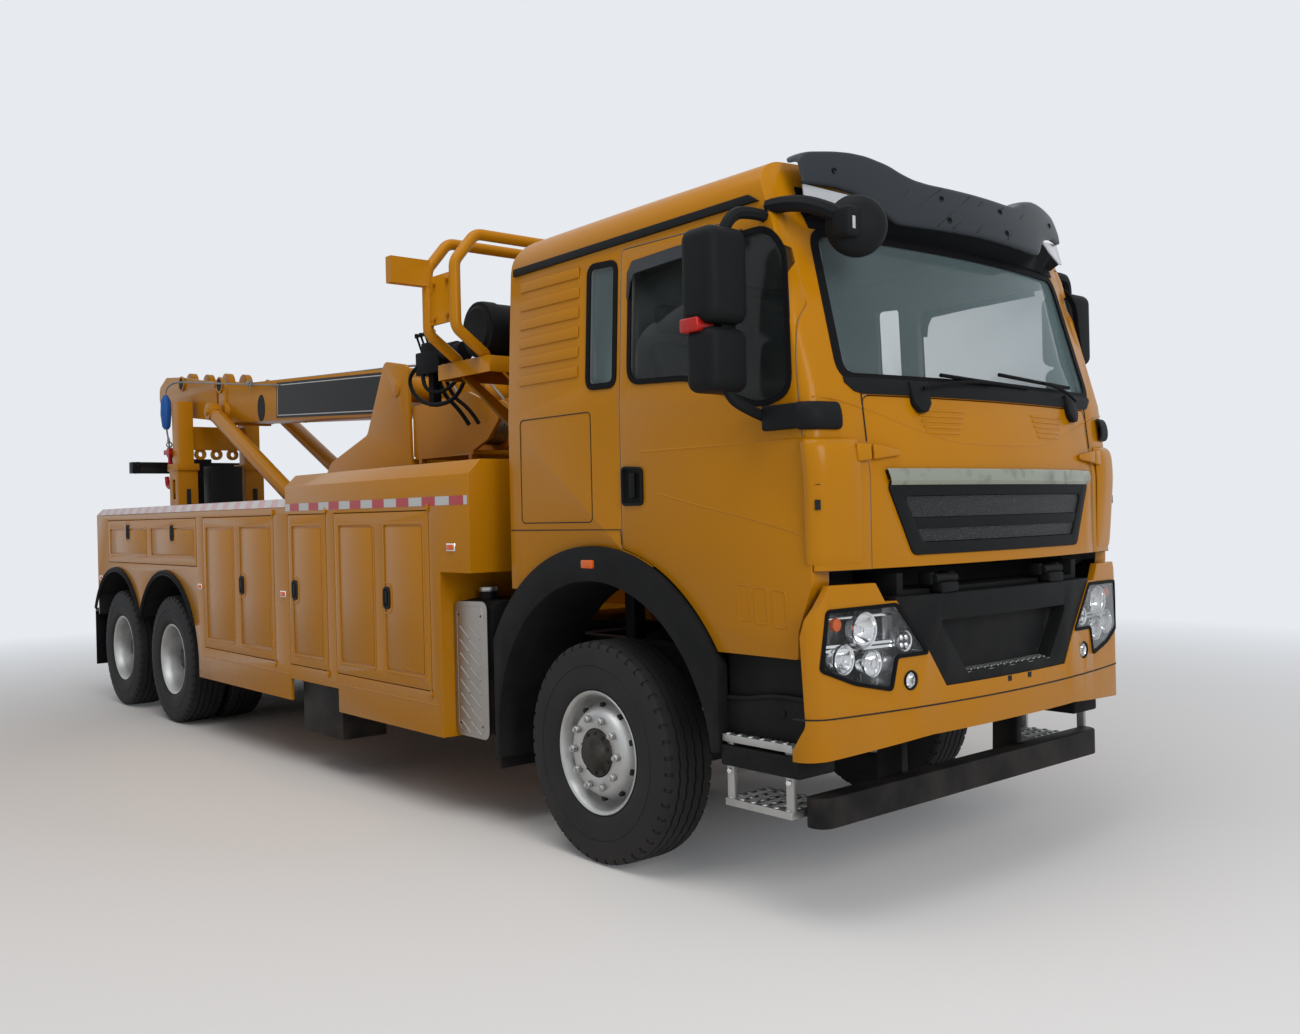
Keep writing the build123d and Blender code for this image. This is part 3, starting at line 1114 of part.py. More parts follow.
def save_all():
    save("chassis_frame", chassis_frame())
    save("drive_line", engine_block(), prop_shaft(), front_axle(), rear_axles())
    save("cab_shell", cab_shell())
    save("cab_glass", *cab_glass())
    save("cab_interior", dashboard(), steering_wheel(), *seats())
    save("cab_trim", roof_visor(), wiper_cowl(), front_mirror())
    save("front_flap", front_flap())
    save("upper_grille", upper_grille(), chrome_strip())
    save_pair("cab_door", door_right())
    save_pair("door_glass", side_glass(WINDOW_OUTLINE) & block(0, 1800, -1300, 0, 1000, 3200))
    save_pair("mirror", mirror_right())
    save("bumper", bumper())
    save("headlamps", headlamps())
    save("lower_grille", lower_grille(), tow_beam())
    save("underrun_beam", underrun_beam())
    save("steps", steps())
    save("wheel_arches", front_arches(), mudguard_flaps(), rear_arch_lips())
    save("tank_and_boxes", fuel_tank(), tank_cover(), battery_box(), side_box())
    save_pair("lockers", locker_right())
    for name, *size in LOCKER_DOORS:
        save_pair(f"locker_{name}", locker_door(*size))
    save("deck", deck())
    save("mast_frame", mast_frame())
    save("winches", winches())
    save("guard_frame", tower(), guard_hoops())
    save("hydraulics", air_cleaner(), valve_block(), folded_arm_box())
    save("boom_outer", boom_outer())
    save("boom_inner", boom_inner() + boom_head())
    save("lift_barrels", lift_barrels())
    save("lift_rods", lift_rods())
    save("underlift_columns", underlift_columns(), crosshead(), tail_bar(), tail_lamps())
    save("tow_hooks", *tow_hooks())
    save("underlift_carriage", underlift_carriage())
    save("stinger_outer", stinger_outer())
    save("stinger_tip", stinger_tip())
    save("crossbar", crossbar())
    save("knuckle_left", knuckle_left())
    save("knuckle_right", other_side(knuckle_left()))
    front = {"front_tyre": tyre(FRONT_TRACK_HALF), "front_rim": front_rim()}
    for name, shape in front.items():
        save(f"{name}_left", shape)
        save(f"{name}_right", other_side(shape))
    twins = [tyre(TWIN_OUTER_Y), tyre(TWIN_OUTER_Y - TWIN_SPACING)]
    rims = twin_rims()
    for label, x in zip(("middle", "rear"), REAR_AXLES):
        save(f"{label}_tyres_left", *[Pos(x, 0, 0) * t for t in twins])
        save(f"{label}_tyres_right", *[Pos(x, 0, 0) * other_side(t) for t in twins])
        save(f"{label}_rims_left", Pos(x, 0, 0) * rims)
        save(f"{label}_rims_right", Pos(x, 0, 0) * other_side(rims))


os.makedirs("parts", exist_ok=True)
save_all()
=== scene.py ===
import bmesh
import bpy
import json
from math import atan2, cos, hypot, pi, radians, sin, sqrt
from mathutils import Matrix, Vector

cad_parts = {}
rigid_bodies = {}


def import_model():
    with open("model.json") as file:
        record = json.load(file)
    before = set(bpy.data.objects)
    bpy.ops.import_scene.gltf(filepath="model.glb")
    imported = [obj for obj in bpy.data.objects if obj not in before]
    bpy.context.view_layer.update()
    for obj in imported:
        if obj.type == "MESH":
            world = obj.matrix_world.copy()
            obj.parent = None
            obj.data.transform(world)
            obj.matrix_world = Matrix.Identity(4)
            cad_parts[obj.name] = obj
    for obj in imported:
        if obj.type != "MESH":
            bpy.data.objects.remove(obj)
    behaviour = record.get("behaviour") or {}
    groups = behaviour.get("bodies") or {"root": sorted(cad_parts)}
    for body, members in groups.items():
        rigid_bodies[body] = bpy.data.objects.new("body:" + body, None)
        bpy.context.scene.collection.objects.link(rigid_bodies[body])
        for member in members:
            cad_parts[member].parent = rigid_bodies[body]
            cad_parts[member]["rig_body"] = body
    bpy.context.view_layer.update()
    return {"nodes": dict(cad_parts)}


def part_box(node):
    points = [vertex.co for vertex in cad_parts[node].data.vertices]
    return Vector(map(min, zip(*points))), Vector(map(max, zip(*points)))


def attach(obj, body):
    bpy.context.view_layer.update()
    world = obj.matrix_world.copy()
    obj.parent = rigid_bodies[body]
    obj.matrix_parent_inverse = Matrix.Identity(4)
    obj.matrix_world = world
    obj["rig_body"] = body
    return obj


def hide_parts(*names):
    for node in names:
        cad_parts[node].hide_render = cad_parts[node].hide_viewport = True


# A heavy tow truck in amber paint. Metres; +X is forward, +Y the driver's left, +Z up.
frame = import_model()
nodes = frame["nodes"]

# The photograph's camera, about the front axle's point on the ground
AXLE_X = sum(corner.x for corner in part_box("front_tyre_right")) / 2
CAMERA_AT = (4.537, -4.651, 1.693)
CAMERA_YAW, CAMERA_PITCH, CAMERA_ROLL = radians(139.51), radians(-0.19), radians(-1.32)
CAMERA_LENS, SENSOR = 32.8, 36.0

# Sizes that many pieces share
AXLE_Z = 0.540
FRONT_TYRE_Y, OUTER_TWIN_Y, INNER_TWIN_Y = 1.020, 1.070, 0.730
REAR_AXLES = {"middle": -5.825, "rear": -7.175}
CAB_SIDE, CAB_ROOF_SIDE = 1.135, 1.088
SHOULDER_Z, ROOF_Z = 2.200, 3.165
LOCKER_SIDE = 1.250


def at(x, y, z):
    """A point given from the ground below the front axle."""
    return Vector((AXLE_X + x, y, z))


# Shader arithmetic

class Value:
    """A shader socket that takes part in plain arithmetic."""

    def __init__(self, finish, socket):
        self.finish = finish
        self.socket = socket

    def math(self, operation, *others):
        """This value combined with others by one operation."""
        return self.finish.node("ShaderNodeMath", {"operation": operation}, dict(enumerate(others)))

    def __add__(self, other):
        return self.math("ADD", self, other)

    def __radd__(self, other):
        return self.math("ADD", other, self)

    def __sub__(self, other):
        return self.math("SUBTRACT", self, other)

    def __rsub__(self, other):
        return self.math("SUBTRACT", other, self)

    def __mul__(self, other):
        return self.math("MULTIPLY", self, other)

    def __rmul__(self, other):
        return self.math("MULTIPLY", other, self)

    def __gt__(self, other):
        return self.math("GREATER_THAN", self, other)

    def wave(self):
        """The sine of this value."""
        return self.math("SINE", self)

    def within(self, low, high):
        """0 below low, 1 above high, a straight ramp between."""
        inputs = {"Value": self, "From Min": low, "From Max": high}
        return self.finish.node("ShaderNodeMapRange", {"clamp": True}, inputs)


class Finish:
    """One material: its nodes, its colours and its surface."""

    def __init__(self, name, colour, rough, metallic=0.0):
        self.material = bpy.data.materials.new(name)
        self.material.use_nodes = True
        self.tree = self.material.node_tree
        self.shader = self.tree.nodes["Principled BSDF"]
        self.set(Roughness=rough, Metallic=metallic)
        self.shader.inputs["Base Color"].default_value = (*colour, 1)

    def feed(self, socket, value):
        """Set a socket, or link it where the value is a shader value."""
        if isinstance(value, Value):
            self.tree.links.new(value.socket, socket)
        elif hasattr(value, "__len__") and len(value) == 3 and len(socket.default_value) == 4:
            socket.default_value = (*value, 1)
        else:
            socket.default_value = value

    def node(self, kind, settings, inputs, output=0):
        """A new shader node with its settings and inputs, as the value of one output."""
        made = self.tree.nodes.new(kind)
        for name, value in settings.items():
            setattr(made, name, value)
        for name, value in inputs.items():
            self.feed(made.inputs[name], value)
        return Value(self, made.outputs[output])

    def set(self, **inputs):
        """Set inputs of the surface by name, with underscores for spaces."""
        for name, value in inputs.items():
            self.feed(self.shader.inputs[name.replace("_", " ")], value)
        return self

    def place(self):
        """The point shaded, in the object's own frame."""
        return self.node("ShaderNodeTexCoord", {}, {}, output="Object")

    def height(self):
        """The height of the point shaded."""
        return self.node("ShaderNodeSeparateXYZ", {}, {0: self.place()}, output="Z")

    def noise(self, scale, detail=3.0):
        """Soft random noise, from 0 to 1."""
        inputs = {"Vector": self.place(), "Scale": scale, "Detail": detail}
        return self.node("ShaderNodeTexNoise", {}, inputs)

    def cells(self, scale):
        """Distance to the edges of random cells."""
        inputs = {"Vector": self.place(), "Scale": scale}
        return self.node("ShaderNodeTexVoronoi", {"feature": "DISTANCE_TO_EDGE"}, inputs)

    def blend(self, share, first, second):
        """A colour between two."""
        settings = {"data_type": "RGBA"}
        return self.node("ShaderNodeMix", settings, {0: share, 6: first, 7: second}, output=2)

    def relief(self, height, strength, distance=0.001):
        """Bump of a given height in the surface."""
        inputs = {"Height": height, "Strength": strength, "Distance": distance}
        return self.set(Normal=self.node("ShaderNodeBump", {}, inputs))


def shaded(colour, share):
    """A colour made darker or paler."""
    return tuple(part * share for part in colour)


def painted(name, colour, rough, coat, dust=0.10):
    """Sprayed paint: a faint orange peel under a clear coat, paler road dust towards the ground."""
    finish = Finish(name, colour, rough)
    finish.set(Specular_IOR_Level=0.12, Coat_Weight=coat, Coat_Roughness=0.06, Coat_IOR=1.3)
    cloud = finish.noise(1.6, 4.0)
    tone = finish.blend(cloud, shaded(colour, 0.90), colour)
    low = 1 - finish.height().within(0.35, 1.5)
    film = low * finish.noise(5.0, 5.0).within(0.35, 0.75) * dust
    finish.set(Base_Color=finish.blend(film, tone, (0.30, 0.24, 0.19)))
    finish.set(Roughness=film * 0.5 + rough + cloud * 0.05)
    return finish.relief(finish.noise(55.0, 2.0), 0.06).material


def moulded(name, colour, rough, grain=900.0, strength=0.25, dust=0.10):
    """Moulded plastic with a fine grain and a little dust."""
    finish = Finish(name, colour, rough)
    finish.set(Specular_IOR_Level=0.06)
    low = 1 - finish.height().within(0.3, 1.8)
    film = low * finish.noise(7.0, 5.0).within(0.4, 0.8) * dust
    finish.set(Base_Color=finish.blend(film, colour, (0.16, 0.135, 0.11)))
    finish.set(Roughness=finish.noise(3.0) * 0.12 + rough)
    return finish.relief(finish.noise(grain, 2.0), strength, 0.0005).material


def metal(name, colour, rough, grain=260.0, stain=0.2):
    """Bare or silver-painted metal with stains and fine scratches."""
    finish = Finish(name, colour, rough, 1.0)
    spots = finish.noise(9.0, 6.0).within(0.5, 0.8) * stain
    finish.set(Base_Color=finish.blend(spots, colour, shaded(colour, 0.45)))
    finish.set(Roughness=spots * 0.6 + rough + finish.noise(grain, 2.0) * 0.08)
    return finish.relief(finish.noise(grain, 2.0), 0.08, 0.0005).material


def tyre_rubber():
    """Dark rubber with dust towards the ground."""
    finish = Finish("tyre_rubber", (0.020, 0.020, 0.021), 0.78)
    finish.set(Specular_IOR_Level=0.2)
    dust = finish.noise(4.0, 6.0).within(0.42, 0.78) * 0.55
    low = 1 - finish.height().within(0.0, 0.5)
    share = (dust + low * 0.35) * 0.13
    finish.set(Base_Color=finish.blend(share, (0.018, 0.018, 0.019), (0.17, 0.14, 0.115)))
    finish.set(Roughness=share * 0.2 + 0.70)
    return finish.relief(finish.noise(320.0, 3.0), 0.3, 0.0006).material


def window_glass(name, colour, least):
    """Tinted glass, see-through face on and mirror-like at a slant; a pale colour adds a painted reflection.
    """
    finish = Finish(name, colour, 0.03)
    slant = finish.node("ShaderNodeLayerWeight", {}, {"Blend": 0.5}, output="Facing")
    finish.set(Alpha=slant * slant * slant * (1 - least) + least)
    film = finish.noise(2.5, 4.0) * 0.03
    finish.set(Roughness=film + 0.02)
    return finish.material


def tape(name, first, second, length, slant):
    """Marking tape in two colours that alternate along the truck; slant leans the stripes."""
    finish = Finish(name, first, 0.35)
    along = finish.node("ShaderNodeSeparateXYZ", {}, {0: finish.place()}, output="X")
    stripe = (along + finish.height() * slant) * (2 * pi / length)
    finish.set(Base_Color=finish.blend(stripe.wave() > 0.0, first, second))
    return finish.relief(finish.cells(220.0), 0.25, 0.0004).material


def mesh_screen():
    """A black honeycomb air screen, its cells darker than its walls as painted shade in the holes."""
    finish = Finish("air_screen", (0.012, 0.012, 0.013), 0.5)
    walls = finish.cells(95.0).within(0.0, 0.18)
    # Painted shade: the middles of the cells darker than the walls
    finish.set(Base_Color=finish.blend(walls, (0.014, 0.014, 0.015), (0.003, 0.003, 0.003)))
    return finish.relief(1 - walls, 0.9, 0.004).material


def woven(name, colour):
    """Cloth with a fine thread."""
    finish = Finish(name, colour, 0.9)
    thread = finish.noise(420.0, 2.0)
    finish.set(Base_Color=finish.blend(thread, shaded(colour, 0.7), shaded(colour, 1.3)))
    return finish.relief(thread, 0.5, 0.0008).material


AMBER = (0.49, 0.192, 0.0025)
body_paint = painted("amber_paint", AMBER, 0.24, 0.13)
gear_paint = painted("amber_gear_paint", (0.49, 0.193, 0.003), 0.32, 0.08)
chassis_paint = painted("black_chassis_paint", (0.009, 0.009, 0.010), 0.5, 0.0, 0.12)
hook_paint = painted("red_hook_paint", (0.42, 0.010, 0.012), 0.35, 0.3, 0.0)
sleeve_paint = painted("blue_sleeve_paint", (0.02, 0.11, 0.40), 0.4, 0.2, 0.0)
black_plastic = moulded("black_plastic", (0.012, 0.0125, 0.013), 0.46)
seal_rubber = moulded("seal_rubber", (0.006, 0.006, 0.007), 0.55, 500.0, 0.15, 0.05)
visor_plastic = moulded("grey_visor_plastic", (0.036, 0.040, 0.045), 0.26, 1200.0, 0.08, 0.0)
dash_plastic = moulded("dashboard_plastic", (0.05, 0.052, 0.055), 0.6)
lining_plastic = moulded("lining_plastic", (0.24, 0.24, 0.23), 0.7, 700.0, 0.2, 0.0)
# Near black: dark seams, and painted shade in holes, slots, grooves, openings and under the cab and lockers
seams_and_painted_shade = Finish("seams_and_painted_shade", (0.004, 0.004, 0.004), 0.9).material
lamp_tub = metal("lamp_tub", (0.16, 0.165, 0.17), 0.22, 60.0, 0.0)
wheel_silver = metal("silver_wheel_paint", (0.46, 0.46, 0.45), 0.42, 200.0, 0.35)
step_aluminium = metal("step_aluminium", (0.41, 0.41, 0.40), 0.40, 240.0, 0.3)
cover_steel = metal("tank_cover_steel", (0.36, 0.345, 0.32), 0.36, 420.0, 0.25)
strip_chrome = metal("strip_chrome", (0.34, 0.355, 0.29), 0.07, 60.0, 1.1)
chrome = metal("bright_chrome", (0.80, 0.80, 0.80), 0.08, 60.0, 0.05)
lamp_bowl = metal("lamp_bowl", (0.85, 0.86, 0.87), 0.10, 60.0, 0.0)
hub_iron = metal("rusty_hub_iron", (0.060, 0.055, 0.050), 0.6, 120.0, 0.6)
cast_iron = metal("cast_iron", (0.030, 0.030, 0.030), 0.62, 90.0, 0.4)
rope_steel = metal("wire_rope", (0.22, 0.21, 0.20), 0.45, 700.0, 0.4)
rubber = tyre_rubber()
# Painted reflection: the windscreen's pale green colour lies over the view through it as the sky's reflection
windscreen_glass = window_glass("windscreen_glass", (0.21, 0.30, 0.31), 0.13)
side_window_glass = window_glass("side_window_glass", (0.018, 0.026, 0.025), 0.20)
lens_glass = window_glass("clear_lens", (0.30, 0.31, 0.32), 0.03)
amber_lens = painted("amber_lens", (0.72, 0.12, 0.008), 0.15, 0.8, 0.0)
red_lens = painted("red_lens", (0.45, 0.012, 0.008), 0.2, 0.6, 0.0)
white_lens = painted("pale_lens", (0.50, 0.52, 0.54), 0.14, 0.8, 0.0)
air_screen = mesh_screen()
seat_cloth = woven("seat_cloth", (0.075, 0.078, 0.084))
block_tape = tape("red_white_tape", (0.42, 0.012, 0.018), (0.50, 0.50, 0.49), 0.30, 0.0)
slant_tape = tape("faded_slant_tape", (0.56, 0.52, 0.50), (0.56, 0.34, 0.34), 0.23, 1.6)
board_black = painted("board_black", (0.006, 0.006, 0.007), 0.35, 0.0, 0.0)
board_white = painted("board_white", (0.55, 0.55, 0.54), 0.4, 0.2, 0.0)


# Modelling by operators

def clear():
    """Object mode, with nothing selected."""
    if bpy.context.object and bpy.context.object.mode != "OBJECT":
        bpy.ops.object.mode_set(mode="OBJECT")
    bpy.ops.object.select_all(action="DESELECT")


def only(piece):
    """This piece alone selected and active."""
    clear()
    piece.select_set(True)
    bpy.context.view_layer.objects.active = piece
    return piece


def named(piece, name):
    """The piece with this name on its object and its mesh."""
    piece.name = name
    piece.data.name = name
    return piece


def applied(piece):
    """The piece with its transform applied to its mesh."""
    only(piece)
    bpy.ops.object.transform_apply(location=True, rotation=True, scale=True)
    return piece


def block(name, low, high):
    """A rectangular start from two corners."""
    low, high = Vector(low), Vector(high)
    clear()
    bpy.ops.mesh.primitive_cube_add(size=1, location=(low + high) / 2)
    piece = named(bpy.context.object, name)
    piece.scale = high - low
    return applied(piece)


AXIS_TURN = {"X": (0, pi / 2, 0), "Y": (pi / 2, 0, 0), "Z": (0, 0, 0)}


def drum(name, centre, radius, depth, axis="Y", sides=32):
    """A cylinder."""
    clear()
    bpy.ops.mesh.primitive_cylinder_add(vertices=sides, radius=radius, depth=depth, location=centre,
                                        rotation=AXIS_TURN[axis])
    return applied(named(bpy.context.object, name))


def pick(piece, test):
    """Edit mode, with the faces whose centre and normal pass the test selected."""
    only(piece)
    bpy.ops.object.mode_set(mode="EDIT")
    bpy.ops.mesh.select_mode(type="FACE")
    bpy.ops.mesh.select_all(action="DESELECT")
    cage = bmesh.from_edit_mesh(piece.data)
    for face in cage.faces:
        face.select_set(bool(test(face.calc_center_median(), face.normal)))
    bmesh.update_edit_mesh(piece.data)


def done():
    """Back to object mode."""
    bpy.ops.object.mode_set(mode="OBJECT")


def modified(piece, kind, **settings):
    """A modifier added and applied at once."""
    only(piece)
    modifier = piece.modifiers.new(kind.title(), kind)
    for name, value in settings.items():
        setattr(modifier, name, value)
    bpy.ops.object.modifier_apply(modifier=modifier.name)
    return piece


def eased(piece, width, segments=2, angle=30):
    """The piece with its sharp edges rounded."""
    return modified(piece, "BEVEL", width=width, segments=segments, limit_method="ANGLE",
                    angle_limit=radians(angle), harden_normals=False)


def joined(pieces, name):
    """One piece from several."""
    clear()
    for piece in pieces:
        piece.select_set(True)
    bpy.context.view_layer.objects.active = pieces[0]
    if len(pieces) > 1:
        bpy.ops.object.join()
    return named(bpy.context.object, name)


def outward(piece):
    """Merge doubles and make every face point outwards."""
    only(piece)
    bpy.ops.object.mode_set(mode="EDIT")
    bpy.ops.mesh.select_all(action="SELECT")
    bpy.ops.mesh.remove_doubles(threshold=0.00005)
    bpy.ops.mesh.normals_make_consistent(inside=False)
    done()
    return piece


def mirrored(piece, name):
    """The same piece on the other side of the truck."""
    twin = piece.copy()
    twin.data = piece.data.copy()
    bpy.context.collection.objects.link(twin)
    twin.data.transform(Matrix.Scale(-1, 4, (0, 1, 0)))
    return outward(named(twin, name))


def finished(piece, finish, body="chassis", angle=35):
    """Shade, paint and hang a piece on its body."""
    only(piece)
    bpy.ops.object.shade_smooth_by_angle(angle=radians(angle))
    piece.data.materials.clear()
    piece.data.materials.append(finish)
    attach(piece, body)
    return piece


def path(*points):
    """Several points given from the ground below the front axle."""
    return [at(*point) for point in points]


def ringed(name, places, fill="NOTHING"):
    """A start with one vertex at each place, in order round its edge."""
    clear()
    bpy.ops.mesh.primitive_circle_add(vertices=len(places), radius=1, fill_type=fill)
    piece = named(bpy.context.object, name)
    for vertex, place in zip(piece.data.vertices, places):
        vertex.co = place
    return piece


def gathered(name, pieces, finish, body="chassis"):
    """Several pieces joined, painted and hung on their body as one."""
    return finished(joined(pieces, name), finish, body)


def plate(name, corners, thickness):
    """A plate from its corners, thickened by the vector thickness."""
    piece = ringed(name, corners, "NGON")
    pick(piece, lambda centre, normal: True)
    bpy.ops.mesh.extrude_region_move(TRANSFORM_OT_translate={"value": Vector(thickness)})
    done()
    return outward(piece)


def upright(name, outline, y, width):
    """A plate of that width across, from an outline of (x, z) corners at y."""
    return plate(name, [at(x, y, z) for x, z in outline], (0, width, 0))


def draped(name, rows, thickness, even=False):
    """A skin through rows of points, each as long as the first, with a wall of that thickness."""
    clear()
    bpy.ops.mesh.primitive_grid_add(x_subdivisions=len(rows[0]) - 1, y_subdivisions=len(rows) - 1, size=1)
    piece = named(bpy.context.object, name)
    ordered = sorted(piece.data.vertices, key=lambda vertex: (round(vertex.co.y, 5), vertex.co.x))
    for vertex, place in zip(ordered, [point for row in rows for point in row]):
        vertex.co = place
    outward(piece)
    return modified(piece, "SOLIDIFY", thickness=thickness, offset=0, use_even_offset=even)


def ribbon(name, top, bottom, thickness):
    """A curved strip between two rows of points."""
    return draped(name, list(zip(top, bottom)), thickness, even=True)


def turned(name, centre, profile, steps=64, axis="Y"):
    """A solid of revolution from closed (offset along the axis, radius) corners."""
    centre = Vector(centre)
    along = Vector((0, 1, 0)) if axis == "Y" else Vector((1, 0, 0))
    up = Vector((0, 0, 1))
    piece = ringed(name, [centre + along * offset + up * radius for offset, radius in profile])
    only(piece)
    bpy.ops.object.mode_set(mode="EDIT")
    bpy.ops.mesh.select_all(action="SELECT")
    bpy.ops.mesh.spin(steps=steps, angle=2 * pi, center=centre, axis=along)
    done()
    return outward(piece)


def rod(name, points, radius, sides=8, smooth_path=True):
    """A round bar, hose or seam through its points."""
    curve = bpy.data.curves.new(name, "CURVE")
    curve.dimensions = "3D"
    curve.bevel_depth = radius
    curve.bevel_resolution = max(1, sides // 4 - 1)
    curve.use_fill_caps = True
    line = curve.splines.new("NURBS" if smooth_path else "POLY")
    line.points.add(len(points) - 1)
    for point, place in zip(line.points, points):
        point.co = (*place, 1)
    if smooth_path:
        line.order_u = 3
        line.use_endpoint_u = True
    curve.resolution_u = 6
    piece = bpy.data.objects.new(name, curve)
    bpy.context.collection.objects.link(piece)
    only(piece)
    bpy.ops.object.convert(target="MESH")
    return named(bpy.context.object, name)


def torus(place, major, minor, major_steps, minor_steps, turn=(0, 0, 0)):
    """A ring of round section."""
    clear()
    bpy.ops.mesh.primitive_torus_add(location=place, rotation=turn, major_radius=major, minor_radius=minor,
                                     major_segments=major_steps, minor_segments=minor_steps)
    return applied(bpy.context.object)


def soft_block(name, low, high, width, segments=2):
    """A block with rounded edges between two corners given from the ground below the front axle."""
    return eased(block(name, at(*low), at(*high)), width, segments)


def hex_nut(name, centre, across, height, axis="Y"):
    """A hexagon nut with a chamfered top and its stud."""
    nut = drum(name, centre, across / sqrt(3), height, axis, 6)
    eased(nut, across * 0.06, 1)
    stud = drum(name + "_stud", centre, across * 0.3, height * 1.7, axis, 10)
    return joined([nut, stud], name)


def refined(node, finish, width):
    """A CAD node's own shape with softened edges, which stands for the node."""
    source = nodes[node]
    piece = bpy.data.objects.new(node + "_skin", source.data.copy())
    bpy.context.collection.objects.link(piece)
    named(piece, node + "_skin")
    only(piece)
    bpy.ops.object.mode_set(mode="EDIT")
    bpy.ops.mesh.select_all(action="SELECT")
    bpy.ops.mesh.remove_doubles(threshold=0.00002)
    bpy.ops.mesh.dissolve_limited(angle_limit=radians(0.6))
    done()
    if width:
        eased(piece, width)
    finished(piece, finish, nodes[node]["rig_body"], angle=30)
    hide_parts(node)


def peeled(node, name, test, thickness, finish, body):
    """A thin skin over those faces of a CAD node that pass the test."""
    piece = bpy.data.objects.new(name, nodes[node].data.copy())
    bpy.context.collection.objects.link(piece)
    pick(piece, lambda centre, normal: not test(centre, normal))
    bpy.ops.mesh.delete(type="FACE")
    bpy.ops.mesh.select_all(action="SELECT")
    bpy.ops.mesh.remove_doubles(threshold=0.00002)
    done()
    named(piece, name)
    modified(piece, "SOLIDIFY", thickness=thickness, offset=1)
    return finished(piece, finish, body)


# Camera, light and floor

def camera_basis():
    """The camera's turning, from its yaw, pitch and roll."""
    forward = Vector((cos(CAMERA_PITCH) * cos(CAMERA_YAW), cos(CAMERA_PITCH) * sin(CAMERA_YAW),
                      sin(CAMERA_PITCH)))
    right = forward.cross(Vector((0, 0, 1))).normalized()
    up = right.cross(forward)
    turned_right = right * cos(CAMERA_ROLL) + up * sin(CAMERA_ROLL)
    turned_up = up * cos(CAMERA_ROLL) - right * sin(CAMERA_ROLL)
    return Matrix((turned_right, turned_up, -forward)).transposed().to_4x4()


def place_camera():
    """The photograph's camera."""
    lens = bpy.data.cameras.new("photo_camera")
    lens.lens, lens.sensor_width, lens.sensor_fit = CAMERA_LENS, SENSOR, "HORIZONTAL"
    lens.clip_end = 200
    camera = bpy.data.objects.new("photo_camera", lens)
    bpy.context.collection.objects.link(camera)
    camera.matrix_world = Matrix.Translation(at(*CAMERA_AT)) @ camera_basis()
    bpy.context.scene.camera = camera


def area_lamp(name, place, aim, size, power):
    """A round lamp at a place, aimed at another."""
    lamp = bpy.data.lights.new(name, "AREA")
    lamp.shape, lamp.size, lamp.energy = "DISK", size, power
    holder = bpy.data.objects.new(name, lamp)
    bpy.context.collection.objects.link(holder)
    direction = at(*aim) - at(*place)
    facing = direction.to_track_quat("-Z", "Y").to_matrix().to_4x4()
    holder.matrix_world = Matrix.Translation(at(*place)) @ facing


BACKGROUND = (0.80, 0.83, 0.87)


def seen_directly(tree):
    """A share that is 1 for the camera's, mirrors' and glasses' rays and 0 for the light on the object."""
    rays = tree.nodes.new("ShaderNodeLightPath")
    share = rays.outputs["Is Camera Ray"]
    for ray in ("Is Glossy Ray", "Is Transmission Ray"):
        larger = tree.nodes.new("ShaderNodeMath")
        larger.operation = "MAXIMUM"
        tree.links.new(share, larger.inputs[0])
        tree.links.new(rays.outputs[ray], larger.inputs[1])
        share = larger.outputs["Value"]
    return share


def light_the_studio():
    """A pale background, soft light on the object, and two lamps."""
    scene = bpy.context.scene
    scene.view_settings.view_transform = "Standard"
    world = bpy.data.worlds.new("soft_sky")
    scene.world = world
    world.use_nodes = True
    tree = world.node_tree
    sky = tree.nodes["Background"]
    sky.inputs["Color"].default_value = (0.80, 0.84, 0.90, 1)
    sky.inputs["Strength"].default_value = 0.32
    seen = tree.nodes.new("ShaderNodeBackground")
    seen.inputs["Color"].default_value = (*BACKGROUND, 1)
    seen.inputs["Strength"].default_value = 1.0
    mix = tree.nodes.new("ShaderNodeMixShader")
    tree.links.new(seen_directly(tree), mix.inputs["Fac"])
    tree.links.new(sky.outputs["Background"], mix.inputs[1])
    tree.links.new(seen.outputs["Background"], mix.inputs[2])
    tree.links.new(mix.outputs["Shader"], tree.nodes["World Output"].inputs["Surface"])
    area_lamp("overhead", (0.5, -3.5, 11.0), (-2.5, 0.0, 1.0), 9.0, 560)
    area_lamp("front_fill", (10.0, -3.0, 5.5), (0.5, 0.0, 1.5), 5.0, 400)


def lay_the_floor():
    """Pale ground that fades into the background with distance."""
    clear()
    bpy.ops.mesh.primitive_plane_add(size=400, location=at(-3.7, 0, 0))
    floor = applied(named(bpy.context.object, "floor"))
    pale = Finish("pale_floor", (0.80, 0.76, 0.72), 0.95)
    pale.set(Specular_IOR_Level=0.1)
    pale.relief(pale.noise(3.0, 6.0), 0.15, 0.01)
    distance = pale.node("ShaderNodeVectorMath", {"operation": "LENGTH"}, {0: pale.place()}, output="Value")
    glow = pale.tree.nodes.new("ShaderNodeEmission")
    glow.inputs["Color"].default_value = (*BACKGROUND, 1)
    mix = pale.tree.nodes.new("ShaderNodeMixShader")
    pale.feed(mix.inputs["Fac"], distance.within(3.0, 12.0))
    pale.tree.links.new(pale.shader.outputs["BSDF"], mix.inputs[1])
    pale.tree.links.new(glow.outputs["Emission"], mix.inputs[2])
    pale.tree.links.new(mix.outputs["Shader"], pale.tree.nodes["Material Output"].inputs["Surface"])
    floor.data.materials.append(pale.material)


# Where the cab's outer skin lies

CAB_NOSE = [(1.085, 1.535), (1.447, 1.548), (1.830, 1.550), (2.190, 1.508), (2.870, 1.315), (3.165, 1.190)]

# Half width, sweep and corner radius of the cab's plan, and the nose before them for the bumper
CORNER_RADIUS, CAB_SWEEP = 0.075, 0.125
CAB_PLAN = (1.140, CAB_SWEEP, CORNER_RADIUS)
BUMPER_PLAN = (1.560, 1.195, 0.130, 0.120)

